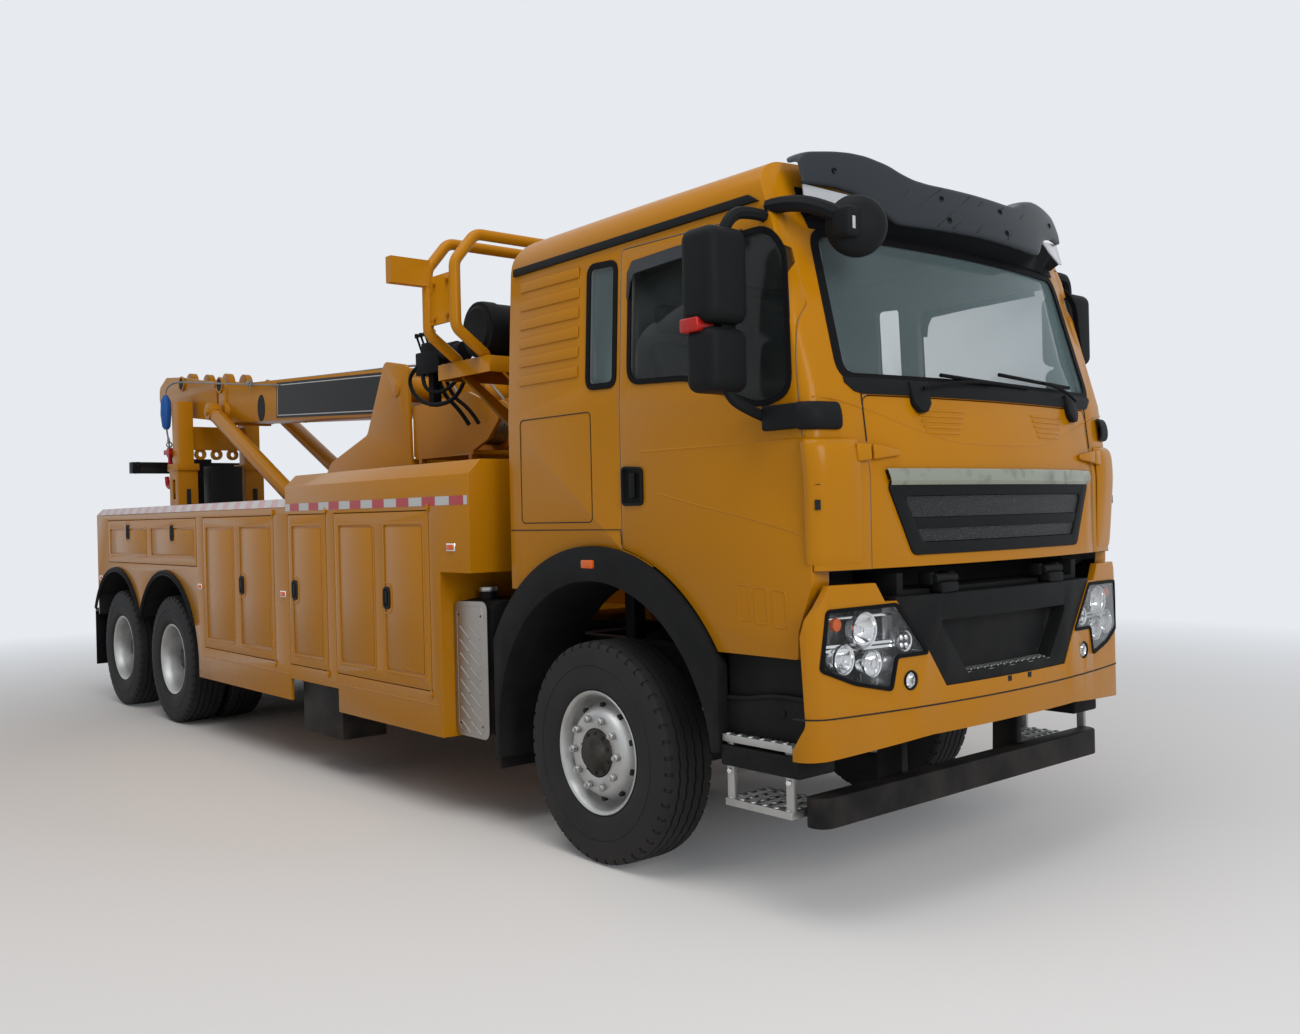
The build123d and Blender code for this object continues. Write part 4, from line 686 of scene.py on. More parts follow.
# The part of a plan's shares that its corner takes up
CORNER_SHARE = 0.2


def nose_at(z):
    """How far forward the middle of the cab's front lies at a height."""
    for (low, first), (high, second) in zip(CAB_NOSE, CAB_NOSE[1:]):
        if z <= high:
            return first + (second - first) * (z - low) / (high - low)
    return CAB_NOSE[-1][1]


def side_at(z):
    """Half the cab's width at a height."""
    return CAB_SIDE - max(0, z - SHOULDER_Z) / (ROOF_Z - SHOULDER_Z) * (CAB_SIDE - CAB_ROOF_SIDE)


def plan_point(share, nose, half_width, sweep, corner):
    """A point of a swept nose in plan: share 0 is the middle, 1 the corner's end on the side."""
    reach = (half_width ** 2 + sweep ** 2) / (2 * sweep)
    centre_x = nose - reach
    corner_y = half_width - corner
    corner_x = centre_x + sqrt((reach - corner) ** 2 - corner_y ** 2)
    edge = atan2(corner_y, corner_x - centre_x)
    front = 1 - CORNER_SHARE
    if share < front:
        turn = edge * share / front
        return Vector((centre_x + reach * cos(turn), reach * sin(turn), 0)), Vector((cos(turn), sin(turn), 0))
    turn = edge + (pi / 2 - edge) * (share - front) / CORNER_SHARE
    normal = Vector((cos(turn), sin(turn), 0))
    return Vector((corner_x + corner * cos(turn), corner_y + corner * sin(turn), 0)), normal


def at_width(y, plan):
    """The share of a swept plan at which it is y wide, with the point and its normal."""
    low, high = 0.0, 1.0
    for _ in range(24):
        share = (low + high) / 2
        point, normal = plan(share)
        if point.y < y:
            low = share
        else:
            high = share
    return low, point, normal


def on_skin(y, z, proud, plan):
    """The point of a skin at a width and height, proud of it."""
    _, point, normal = at_width(abs(y), plan)
    point = point + normal * proud
    return at(point.x, point.y if y > 0 else -point.y, z)


def cab_plan(z):
    """The cab's front in plan at a height."""
    return lambda share: plan_point(share, nose_at(z), *CAB_PLAN)


def bumper_plan(share):
    """The bumper's front in plan."""
    return plan_point(share, *BUMPER_PLAN)


def on_cab(y, z, proud=0.0):
    """A point on the cab's front skin."""
    return on_skin(y, z, proud, cab_plan(z))


def on_bumper(y, z, proud=0.0):
    """A point on the bumper's front skin."""
    return on_skin(y, z, proud, bumper_plan)


def share_at(y, z):
    """The share of the cab's plan at which its skin is y wide."""
    return at_width(y, cab_plan(z))[0]


def on_side(x, z, proud=0.0):
    """A point of the cab's right side."""
    return at(x, -side_at(z) - proud, z)


SIDES = {"right": -1, "left": 1}
SIDED = {"cab_door", "locker_door_a", "locker_door_b", "locker_door_c", "locker_lid"}


def both_sides(make):
    """Mirror right-hand pieces: make gives (name without its side, piece or list, finish, body)."""
    for stem, piece, finish, body in make():
        if isinstance(piece, list):
            piece = joined(piece, f"{stem}_right")
        finished(piece, finish, f"{body}_right" if body in SIDED else body)
        twin = mirrored(piece, f"{stem}_left")
        finished(twin, finish, f"{body}_left" if body in SIDED else body)


# Wheels

GROOVES = [-0.072, -0.025, 0.025, 0.072]
TREAD_STEPS = 180
RIBS_HALF, RIBS_RADIUS, RIB_WAVE = 0.085, 0.52, 0.0022
SHOULDER_INNER, SHOULDER_OUTER, SHOULDER_RADIUS, NOTCH_DEPTH = 0.118, 0.142, 0.512, 0.006

# The flanges of every rim, as (offset, radius) corners
FRONT_FLANGE = [(0.118, 0.2845), (0.121, 0.292), (0.126, 0.299), (0.131, 0.300), (0.134, 0.296),
                (0.130, 0.287)]
BACK_FLANGE = [(-0.128, 0.263), (-0.128, 0.299), (-0.122, 0.299), (-0.122, 0.2845)]
NUT_CIRCLE = 0.1675


def tyre_profile():
    """Closed section of the tyre as (offset, radius) corners, from one bead over the tread to the other."""
    wall = [(-0.122, 0.287), (-0.122, 0.300), (-0.131, 0.308), (-0.140, 0.322), (-0.1455, 0.345),
            (-0.1495, 0.380), (-0.1500, 0.415), (-0.1475, 0.417), (-0.1475, 0.423), (-0.1500, 0.425),
            (-0.1485, 0.460), (-0.1450, 0.490), (-0.1400, 0.508), (-0.1385, 0.522), (-0.1290, 0.533)]
    tread = [(-0.112, 0.5365)]
    for groove in GROOVES:
        tread += [(groove - 0.006, 0.539), (groove - 0.0035, 0.525), (groove + 0.0035, 0.525),
                  (groove + 0.006, 0.539)]
    tread += [(0.112, 0.5365)]
    inner = [(0.110, 0.290), (0.0, 0.300), (-0.110, 0.290)]
    return wall + tread + [(-y, r) for y, r in reversed(wall)] + inner


def tyre(name, centre):
    """A road tyre: ribs with wavy grooves and notched shoulders."""
    piece = turned(name, centre, tyre_profile(), TREAD_STEPS)
    centre = Vector(centre)
    for vertex in piece.data.vertices:
        offset = vertex.co.y - centre.y
        across = vertex.co - centre
        radius = hypot(across.x, across.z)
        step = round(atan2(across.z, across.x) / (2 * pi) * TREAD_STEPS)
        if radius > RIBS_RADIUS and abs(offset) < RIBS_HALF:
            vertex.co.y += RIB_WAVE * (-1) ** (step // 2)

    def shoulder(face_centre, normal):
        """True for the faces of every notch in the tyre's shoulders."""
        across = face_centre - centre
        step = int((atan2(across.z, across.x) / (2 * pi) + 0.5) * TREAD_STEPS)
        on_edge = SHOULDER_INNER < abs(across.y) < SHOULDER_OUTER
        return on_edge and hypot(across.x, across.z) > SHOULDER_RADIUS and step % 4 == 0

    pick(piece, shoulder)
    bpy.ops.mesh.extrude_region_shrink_fatten(TRANSFORM_OT_shrink_fatten={"value": -NOTCH_DEPTH})
    done()
    return piece


def around(centre, count, radius, y, first=0.0):
    """Points evenly round a wheel's axle, y beside its centre."""
    turns = [2 * pi * (i + first) / count for i in range(count)]
    return [centre + Vector((radius * cos(turn), y, radius * sin(turn))) for turn in turns]


def spun(name, centre, sign, profile, steps):
    """A wheel's part from its section, whose offsets count outwards."""
    return turned(name, centre, [(sign * y, r) for y, r in profile], steps)


def wheel_nuts(centre, y):
    """The ten nuts of a wheel."""
    return [hex_nut("nut", place, 0.033, 0.026) for place in around(centre, 10, NUT_CIRCLE, y)]


def front_wheel_shapes(side, sign):
    """A front tyre and rim with hand holes drawn as painted shade, nuts, hub and brake drum."""
    centre = at(0, sign * FRONT_TYRE_Y, AXLE_Z)
    body = f"front_wheel_{side}"
    piece = tyre(f"front_tyre_{side}_tread", centre)
    finished(piece, rubber, body)
    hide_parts(f"front_tyre_{side}")
    bowl = [*FRONT_FLANGE, (0.120, 0.279), (0.070, 0.262), (0.040, 0.252), (0.052, 0.240), (0.092, 0.221),
            (0.116, 0.205), (0.128, 0.192), (0.132, 0.180), (0.133, 0.132), (0.130, 0.119), (0.120, 0.119),
            (0.120, 0.178), (0.104, 0.196), (0.020, 0.240), (-0.062, 0.246), *BACK_FLANGE,
            (-0.060, 0.262), (0.060, 0.262)]
    rim = spun(f"front_rim_{side}_bowl", centre, sign, bowl, 96)
    finished(rim, wheel_silver, body)
    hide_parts(f"front_rim_{side}")
    # Painted shade: near-black discs where the rim's hand holes are
    holes = [drum("hole", place, 0.014, 0.02, "Y", 16)
             for place in around(centre, 10, 0.226, sign * 0.086, 0.5)]
    gathered(f"front_hand_holes_{side}", holes, seams_and_painted_shade, body)
    finished(joined(wheel_nuts(centre, sign * 0.146), f"front_wheel_nuts_{side}"), wheel_silver, body)
    hub = [(0.060, 0.046), (0.060, 0.118), (0.124, 0.118), (0.134, 0.112), (0.140, 0.090), (0.146, 0.084),
           (0.156, 0.080), (0.172, 0.070), (0.182, 0.056), (0.185, 0.0), (0.062, 0.0)]
    finished(spun(f"front_hub_{side}", centre, sign, hub, 48), hub_iron, body)
    rear = [(-0.090, 0.0445), (-0.090, 0.150), (0.060, 0.150), (0.060, 0.0445)]
    finished(spun(f"front_drum_{side}", centre, sign, rear, 48), cast_iron, body)
    bolts = [drum("bolt", place, 0.008, 0.016, "Y", 6)
             for place in around(centre, 10, 0.100, sign * 0.138, 0.5)]
    gathered(f"front_hub_bolts_{side}", bolts, hub_iron, body)


def twin_wheel_shapes(axle, side, sign):
    """A pair of rear tyres and rims with nuts and hub."""
    body = f"{axle}_wheels_{side}"
    x = REAR_AXLES[axle]
    treads = [tyre("twin", at(x, sign * y, AXLE_Z)) for y in (OUTER_TWIN_Y, INNER_TWIN_Y)]
    piece = joined(treads, f"{axle}_tyres_{side}_tread")
    finished(piece, rubber, body)
    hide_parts(f"{axle}_tyres_{side}")
    dish = [*FRONT_FLANGE, (0.120, 0.277), (0.060, 0.262), (-0.040, 0.256), (-0.100, 0.245),
            (-0.130, 0.222), (-0.152, 0.200), (-0.158, 0.186), (-0.158, 0.119), (-0.170, 0.119),
            (-0.170, 0.190), (-0.140, 0.232), (-0.108, 0.262), *BACK_FLANGE, (-0.060, 0.266), (0.060, 0.266)]
    centre = at(x, sign * OUTER_TWIN_Y, AXLE_Z)
    outer = spun("outer", centre, sign, dish, 72)
    inner = spun("inner", at(x, sign * INNER_TWIN_Y, AXLE_Z), -sign, dish, 72)
    rims = joined([outer, inner], f"{axle}_rims_{side}_dish")
    finished(rims, wheel_silver, body)
    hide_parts(f"{axle}_rims_{side}")
    hub = [(-0.480, 0.0705), (-0.480, 0.175), (-0.180, 0.175), (-0.180, 0.148), (-0.150, 0.120),
           (-0.148, 0.118), (-0.062, 0.106), (0.022, 0.100), (0.032, 0.094), (0.036, 0.064), (0.050, 0.056),
           (0.053, 0.0), (-0.098, 0.0), (-0.098, 0.0705)]
    finished(spun(f"{axle}_hub_{side}", centre, sign, hub, 48), hub_iron, body)
    finished(joined(wheel_nuts(centre, sign * -0.145), f"{axle}_wheel_nuts_{side}"), wheel_silver, body)
    bolts = [drum("bolt", place, 0.008, 0.012, "Y", 6) for place in around(centre, 8, 0.080, sign * 0.036)]
    gathered(f"{axle}_hub_bolts_{side}", bolts, hub_iron, body)


# Cab

WINDOW = [(0.290, 2.310), (0.290, 2.840), (1.160, 2.850), (1.255, 2.750), (1.295, 2.170), (1.130, 2.130),
          (0.700, 2.290)]
QUARTER = [(-0.020, 2.320), (-0.020, 2.885), (0.165, 2.875), (0.165, 2.315)]


def rounded(corners, radius, steps=5):
    """Corners of a flat outline with each one rounded."""
    result = []
    count = len(corners)
    for index, corner in enumerate(corners):
        here = Vector(corner)
        before = Vector(corners[index - 1]) - here
        after = Vector(corners[(index + 1) % count]) - here
        cut = min(radius, before.length * 0.45, after.length * 0.45)
        first, last = here + before.normalized() * cut, here + after.normalized() * cut
        for step in range(steps + 1):
            share = step / steps
            result.append(first.lerp(here, share).lerp(here.lerp(last, share), share))
    return result


def rounded_box(x0, x1, z0, z1, radius, steps=5):
    """A rounded rectangle's outline."""
    return rounded([(x0, z0), (x0, z1), (x1, z1), (x1, z0)], radius, steps)


def band_round(name, outline, inner, outer, put, thickness):
    """A flat frame round an outline: a loop of quads between two offsets of it."""
    middle = sum((Vector(point) for point in outline), Vector((0, 0))) / len(outline)
    count = len(outline)
    rows = []
    for grow in (inner, outer):
        row = []
        for index, point in enumerate(outline):
            here = Vector(point)
            along = (Vector(outline[(index + 1) % count]) - Vector(outline[index - 1])).normalized()
            normal = Vector((along.y, -along.x))
            if normal.dot(here - middle) < 0:
                normal = -normal
            row.append(here + normal * grow)
        rows.append(row)
    piece = ringed(name, [put(*point, 0.0) for point in rows[0]])
    only(piece)
    bpy.ops.object.mode_set(mode="EDIT")
    bpy.ops.mesh.select_all(action="SELECT")
    bpy.ops.mesh.extrude_edges_move()
    done()
    for vertex, point in zip(piece.data.vertices[count:], rows[1]):
        vertex.co = put(*point, 0.0)
    outward(piece)
    modified(piece, "SOLIDIFY", thickness=thickness, offset=0)
    return outward(piece)


def subdivided(outline, step):
    """The same closed outline with points at most a step apart."""
    result = []
    for index, corner in enumerate(outline):
        here, after = Vector(corner), Vector(outline[(index + 1) % len(outline)])
        count = max(1, round((after - here).length / step))
        result += [here.lerp(after, i / count) for i in range(count)]
    return result


def side_strip(name, points, radius):
    """A dark seam along the cab's right side."""
    return rod(name, [on_side(x, z, 0.0004) for x, z in points], radius, 6, smooth_path=False)


DOOR_CREASE = [(0.467, 1.783), (0.758, 1.719), (1.003, 1.672), (1.230, 1.621), (1.369, 1.584)]


def sleeper_shapes():
    """Gutter, beads, seams and small window's seal on the right side behind the door."""
    gutter = plate("gutter_right", [on_side(-0.68, 2.955, -0.004), on_side(-0.68, 2.995, -0.004),
                                    on_side(1.06, 3.012, -0.004), on_side(1.12, 2.975, -0.004)],
                   (0, -0.020, 0))
    eased(gutter, 0.004)
    yield "gutter", gutter, black_plastic, "chassis"
    beads = []
    for index in range(6):
        z = 2.86 - 0.098 * index
        bead = block("bead", on_side(-0.62, z, 0.0),
                     on_side(-0.11, z + 0.052, -0.010) + Vector((0, -0.020, 0)))
        eased(bead, 0.009, 3)
        beads.append(bead)
    yield "sleeper_beads", beads, body_paint, "chassis"
    hatch = rounded_box(-0.610, -0.010, 1.655, 2.190, 0.03)
    yield "hatch_seam", side_strip("hatch_seam_right", [*hatch, hatch[0]], 0.0028), seams_and_painted_shade, "chassis"
    seam = side_strip("rear_seam_right", [(-0.715, 1.618), (0.205, 1.618), (0.212, 1.545)], 0.003)
    yield "rear_seam", seam, seams_and_painted_shade, "chassis"
    quarter = band_round("quarter_seal_right", rounded(QUARTER, 0.035), -0.004, 0.026,
                         lambda x, z, proud: on_side(x, z, proud + 0.002), 0.008)
    yield "quarter_seal", quarter, seal_rubber, "chassis"


def door_shapes():
    """The right door's window seal, rain deflector, handle, crease and skirt marks."""
    window = band_round("window_seal_right", rounded(WINDOW, 0.07), -0.006, 0.020,
                        lambda x, z, proud: on_side(x, z, proud + 0.002), 0.008)
    yield "window_seal", window, seal_rubber, "cab_door"
    deflector = ribbon("rain_deflector_right",
                       [on_side(x, z, 0.004) for x, z in ((0.262, 2.70), (0.266, 2.82), (0.30, 2.868),
                                                          (0.60, 2.880), (1.02, 2.876))],
                       [on_side(x, z, 0.030) for x, z in ((0.305, 2.69), (0.318, 2.76), (0.345, 2.800),
                                                          (0.60, 2.812), (1.02, 2.822))], 0.005)
    yield "rain_deflector", deflector, visor_plastic, "cab_door"
    handle = plate("handle_right",
                   [on_side(x, z, -0.002) for x, z in rounded([(0.226, 1.728), (0.226, 1.915),
                                                               (0.378, 1.905), (0.378, 1.728)], 0.03)],
                   (0, -0.014, 0))
    pick(handle, lambda centre, normal: normal.y < -0.9)
    bpy.ops.mesh.inset(thickness=0.012)
    bpy.ops.mesh.extrude_region_move(TRANSFORM_OT_translate={"value": (0, 0.012, 0)})
    done()
    eased(handle, 0.003)
    grip = eased(block("grip", on_side(0.285, 1.765, 0.004), on_side(0.325, 1.880, 0.014)), 0.005, 3)
    yield "handle", [handle, grip], black_plastic, "cab_door"
    crease = rod("door_crease_right", [on_side(x, z, -0.0035) for x, z in DOOR_CREASE], 0.006, 8, False)
    ridge = rod("ridge", [on_side(x, 1.975, -0.0085) for x in (0.36, 0.60, 0.90, 1.20, 1.38)], 0.011, 12,
                False)
    yield "door_crease", [crease, ridge], body_paint, "cab_door"
    marks = []
    for x, z in ((0.985, 1.235), (1.085, 1.225), (1.190, 1.215)):
        mark = band_round("mark", rounded([(x, z), (x - 0.012, z + 0.150), (x + 0.058, z + 0.148),
                                           (x + 0.068, z)], 0.015), -0.003, 0.003, on_side, 0.005)
        marks.append(eased(mark, 0.0015, 1))
    yield "skirt_marks", marks, body_paint, "cab_door"


def arc_points(low_y, high_y, z, proud, count, put):
    """Evenly spaced points across a skin at a height."""
    return [put(low_y + (high_y - low_y) * index / (count - 1), z, proud) for index in range(count)]


def corner_path(first, last, proud, count, z):
    """Points round the cab's front right corner, in shares of its plan, at a height."""
    points = []
    for index in range(count):
        share = first + (last - first) * index / (count - 1)
        point, normal = plan_point(min(share, 1.0), nose_at(z), side_at(z) + 0.005, CAB_SWEEP, CORNER_RADIUS)
        if share > 1:
            point.x -= (share - 1) * 1.2
        point = point + normal * proud
        points.append(at(point.x, -point.y, z))
    return points


DEFLECTOR_FRONT_Y = 0.915
DEFLECTOR_ROWS = [(1.975, -0.004), (1.966, 0.016), (1.945, 0.027), (1.90, 0.028), (1.82, 0.024),
                  (1.72, 0.017), (1.60, 0.009), (1.49, 0.002), (1.47, -0.004)]


def cab_corner_shapes():
    """Right-hand air deflector with its slots, drawn as painted shade."""
    rows = []
    for z, proud in DEFLECTOR_ROWS:
        first, last = share_at(DEFLECTOR_FRONT_Y, z), 0.985
        row = []
        for index in range(15):
            share = index / 14
            edge = min(1, 0.25 + 5 * share, 0.25 + 5 * (1 - share))
            row.append(corner_path(first + (last - first) * share, 1.0, proud * edge, 2, z)[0])
        rows.append(row)
    panel = draped("corner_deflector_right", rows, 0.012)
    modified(panel, "SUBSURF", levels=1, render_levels=1)
    yield "corner_deflector", panel, body_paint, "chassis"
    # Painted shade: near-black patches in the deflector's slits
    slots = [draped("slot", [corner_path(share_at(1.112, z), share_at(1.124, z), 0.024, 3, z + dz)
                             for dz in (0.020, -0.020)], 0.006) for z in (1.808, 1.710)]
    yield "corner_slots", slots, seams_and_painted_shade, "chassis"


def corner_trim_shapes():
    """The deflector's root and wing beside the right hinge, the crease above and the mirror's foot."""
    root = ribbon("deflector_root_right", [on_cab(-0.940, 1.955, 0.022), on_cab(-0.868, 1.952, 0.026)],
                  [on_cab(-0.940, 1.880, 0.018), on_cab(-0.868, 1.888, 0.020)], 0.018)
    yield "deflector_root", eased(root, 0.007, 3), body_paint, "chassis"
    wing = ribbon("deflector_wing_right",
                  [on_cab(-0.857, 1.952, 0.026), on_cab(-0.80, 1.944, 0.022), on_cab(-0.702, 1.929, 0.010)],
                  [on_cab(-0.857, 1.889, 0.020), on_cab(-0.80, 1.896, 0.018), on_cab(-0.702, 1.906, 0.010)],
                  0.018)
    yield "deflector_wing", eased(wing, 0.007, 3), body_paint, "front_flap"
    crease = rod("corner_crease_right",
                 [on_cab(-y, z, -0.004) for y, z in ((1.108, 2.140), (1.051, 2.140), (0.992, 2.132),
                                                     (0.925, 2.116), (0.870, 2.103))], 0.008, 12)
    yield "corner_crease", crease, body_paint, "chassis"
    seam = rod("flap_seam_right",
               [on_cab(-y, z, 0.0004) for y, z in ((0.865, 2.158), (0.865, 2.05), (0.865, 1.965))], 0.0035,
               6, False)
    yield "flap_seam", seam, seams_and_painted_shade, "chassis"
    foot = draped("mirror_foot_front_right",
                  [corner_path(share_at(0.994, 2.06), 0.985, proud, 12, z)
                   for z, proud in ((2.120, 0.004), (2.112, 0.024), (2.062, 0.030), (2.018, 0.024),
                                    (2.010, 0.004))], 0.010)
    modified(foot, "SUBSURF", levels=1, render_levels=1)
    yield "mirror_foot_front", foot, black_plastic, "chassis"
    foot = eased(block("mirror_foot_right", on_side(1.165, 2.015, 0.0005), on_side(1.372, 2.118, 0.034)),
                 0.012, 3)
    yield "mirror_foot", foot, black_plastic, "cab_door"


def flap_shapes():
    """Creases and pressed ribs on the front flap, and its bright strip."""
    creases = []
    for sign in (-1, 1):
        points = [(0.858, 2.100), (0.776, 2.077), (0.560, 2.011), (0.36, 1.968), (0.15, 1.961), (0.0, 1.960)]
        creases.append(rod("crease", [on_cab(sign * y, z, -0.005) for y, z in points], 0.008, 12))
    gathered("flap_crease", creases, body_paint, "front_flap")
    ribs = []
    for sign in (-1, 1):
        for index in range(5):
            z = 2.108 - index * 0.024
            start, end = 0.26 + 0.012 * index, 0.56 - 0.010 * index
            rib = ribbon("rib", arc_points(sign * start, sign * end, z, 0.0, 5, on_cab),
                         arc_points(sign * start, sign * end, z - 0.012, 0.0, 5, on_cab), 0.008)
            ribs.append(eased(rib, 0.003, 2))
    gathered("flap_ribs", ribs, body_paint, "front_flap")
    strip = draped("bright_strip", [arc_points(-0.785 + inset, 0.785 - inset, z, proud, 40, on_cab)
                                    for z, proud, inset in ((1.852, 0.0135, 0.0), (1.844, 0.020, 0.001),
                                                            (1.815, 0.024, 0.008), (1.798, 0.022, 0.014),
                                                            (1.786, 0.0125, 0.020))], 0.003)
    finished(strip, strip_chrome, "front_flap")


def grille_strip(name, top, bottom, proud, thickness):
    """A strip across the upper grille between two rows, each a half width and a height."""
    rows = [arc_points(-half, half, z, proud, 24, on_cab) for half, z in (top, bottom)]
    return ribbon(name, *rows, thickness)


def upper_grille_shapes():
    """The bar and the mesh fields of the flap's grille."""
    bar = grille_strip("grille_bar", (0.645, 1.648), (0.622, 1.602), 0.003, 0.006)
    finished(eased(bar, 0.002), black_plastic, "front_flap")
    meshes = [grille_strip("mesh", (0.688, 1.738), (0.645, 1.650), 0.0005, 0.002),
              grille_strip("mesh", (0.620, 1.602), (0.588, 1.548), 0.0005, 0.002)]
    gathered("grille_meshes", meshes, air_screen, "front_flap")
    floor = grille_strip("grille_screen", (0.68, 1.742), (0.585, 1.543), -0.019, 0.002)
    finished(floor, air_screen, "front_flap")


def wiper_shapes():
    """The cowl under the windscreen and the wipers with their covers."""
    cowl_rows = []
    for share in (0.0, 0.5, 1.0):
        row = []
        for index in range(45):
            y = -0.945 + 1.89 * index / 44
            low = 2.158 + 0.045 * max(0, (abs(y) - 0.86) / 0.085) ** 2
            row.append(on_cab(y, 2.224 + (low - 2.224) * share, 0.003 + 0.004 * sin(pi * share)))
        cowl_rows.append(row)
    finished(draped("wiper_cowl", cowl_rows, 0.005), black_plastic)
    covers = []
    for y in (-0.548, 0.672):
        cover = plate("cover", [on_cab(y - 0.055, 2.215, -0.01), on_cab(y - 0.050, 2.120, 0.0),
                                on_cab(y - 0.020, 2.085, 0.004), on_cab(y + 0.020, 2.085, 0.004),
                                on_cab(y + 0.050, 2.120, 0.0), on_cab(y + 0.055, 2.215, -0.01)],
                      (0.030, 0, 0.006))
        covers.append(eased(cover, 0.008, 3))
    gathered("wiper_covers", covers, black_plastic)
    arms = []
    for root_y, tip_y, tip_z in ((-0.548, -0.03, 2.236), (0.672, 0.40, 2.262)):
        root, tip = on_cab(root_y, 2.190, 0.040), on_cab(tip_y, tip_z, 0.026)
        arms.append(rod("arm", [root, root.lerp(tip, 0.4) + Vector((0.010, 0, 0.030)), tip], 0.0075, 8))
        first, last = on_cab(tip_y - 0.36, tip_z + 0.020, 0.014), on_cab(tip_y + 0.30, tip_z - 0.002, 0.014)
        arms.append(rod("blade", [first, on_cab(tip_y, tip_z, 0.020), last], 0.009, 6))
    gathered("wipers", arms, seal_rubber)


def windscreen_edges():
    """The windscreen's seal and a dark band above it, painted shade under the visor."""
    outline = rounded([(-0.960, 2.215), (-0.925, 2.860), (0.925, 2.860), (0.960, 2.215)], 0.09, 8)
    seal = band_round("windscreen_seal", subdivided(outline, 0.06), -0.028, 0.012, on_cab, 0.006)
    finished(seal, seal_rubber)
    # Painted shade: a near-black band between the windscreen and the visor
    shade_band = draped("shade_under_visor", [arc_points(-half, half, z, 0.004, 40, on_cab)
                                          for z, half in ((3.050, 0.93), (2.95, 0.945), (2.862, 0.93))],
                    0.004)
    finished(shade_band, seal_rubber)


# Half outlines of the visor's lip, its top and its shaded underside past the lobes, as (y, z)
VISOR_LIP = [(0.0, 2.910), (0.30, 2.905), (0.47, 2.902), (0.555, 2.904), (0.590, 2.930), (0.636, 2.972),
             (0.707, 3.010), (0.84, 3.038), (0.99, 3.039)]
VISOR_TOP = [(0.0, 3.107), (0.30, 3.106), (0.39, 3.115), (0.467, 3.140), (0.527, 3.168), (0.636, 3.193),
             (0.722, 3.198), (0.802, 3.194), (0.928, 3.178), (0.97, 3.155), (0.99, 3.124)]
VISOR_SHADE = [(0.70, 2.998), (0.783, 2.958), (0.915, 2.926), (0.99, 2.931)]
VISOR_CAPS = [(-0.825, 3.100), (-0.244, 3.047), (-0.224, 2.952), (0.206, 3.056), (0.223, 2.955),
              (0.820, 3.100)]
VISOR_GROOVES = [
    [(-0.027, 3.095), (-0.161, 3.012), (-0.231, 2.97), (-0.31, 2.915)],
    [(0.072, 3.087), (-0.073, 2.997), (-0.211, 2.918)],
    [(0.26, 3.09), (0.059, 2.998), (-0.038, 2.922)],
    [(-0.234, 3.096), (-0.351, 3.032), (-0.409, 2.988)],
    [(-0.444, 3.065), (-0.485, 3.024)],
    [(0.46, 3.09), (0.32, 3.00), (0.22, 2.925)],
]


def on_visor(y, z, proud=0.0):
    """A point of the sun visor's face."""
    normal = Vector((1, 0.33 * y, 0.25)).normalized()
    return at(1.452 - 0.165 * y * y - 0.25 * (z - 2.90), y, z) + normal * proud


def height_along(outline, y):
    """The height of a half outline of (y, z) points at a width."""
    y = min(abs(y), outline[-1][0])
    for (left, low), (right, high) in zip(outline, outline[1:]):
        if y <= right:
            return low + (high - low) * (y - left) / (right - left)
    return outline[-1][1]


VISOR_STATIONS = [0.99 * (index / 36 - 1) for index in range(73)]


def visor_point(share, y):
    """A point of the visor: share 0 is its lip, 1 its top edge, less turns under and more runs back."""
    low, high = height_along(VISOR_LIP, y), height_along(VISOR_TOP, y)
    if share < 0:
        return on_visor(y, low + 0.004, -0.022)
    if share <= 1:
        return on_visor(y, low + (high - low) * share, 0.004 * sin(pi * share))
    over = share - 1
    back = 0.035 + 0.09 * min(1, max(0, (high - 3.107) / 0.085))
    return on_visor(y, high) + Vector((-back * over, 0, 0.010 * sin(pi * over * 0.8)))


def visor_shapes():
    """The sun visor: a thin blade that rises in a lobe at each end, caps, pale end panels, and painted shade
    in grooves and beneath.
    """
    rows = [[visor_point(share, y) for y in VISOR_STATIONS]
            for share in (-0.12, 0.0, 0.08, 0.3, 0.55, 0.8, 0.94, 1.0, 1.3, 2.0)]
    visor = draped("sun_visor", rows, 0.006)
    modified(visor, "SUBSURF", levels=1, render_levels=1)
    finished(visor, visor_plastic, angle=50)
    profile = [(-0.004, 0), (-0.004, 0.017), (0.004, 0.015), (0.005, 0.009), (0.002, 0.008), (0.002, 0)]
    caps = [turned("cap", on_visor(y, z, 0.004), profile, 18, "X") for y, z in VISOR_CAPS]
    gathered("visor_caps", caps, seal_rubber)
    # Painted shade: near-black lines along the visor's grooves
    grooves = [rod("groove", [on_visor(y, z, 0.0045) for y, z in line], 0.0028, 6) for line in VISOR_GROOVES]
    gathered("visor_grooves", grooves, seams_and_painted_shade)
    ends, under = [], []
    for sign in (-1, 1):
        corners = [(0.975, 3.040), (0.700, 3.004), (0.783, 2.958), (0.915, 2.924), (0.985, 2.930)]
        ends.append(eased(plate("end", [on_visor(sign * y, z, -0.012) for y, z in corners], (-0.010, 0, 0)),
                          0.003))
    gathered("visor_end_panels", ends, white_lens)
    # Painted shade: a black sheet under the visor, from its lip back to the cab
    for y in VISOR_STATIONS[2:-2]:
        low = height_along(VISOR_LIP, y) + 0.006 if abs(y) < 0.70 else height_along(VISOR_SHADE, y)
        under.append((on_visor(y, low, -0.020), on_cab(y, 2.868 if abs(y) < 0.80 else 2.90, 0.010)))
    finished(draped("visor_underside", list(zip(*under)), 0.004), seal_rubber)


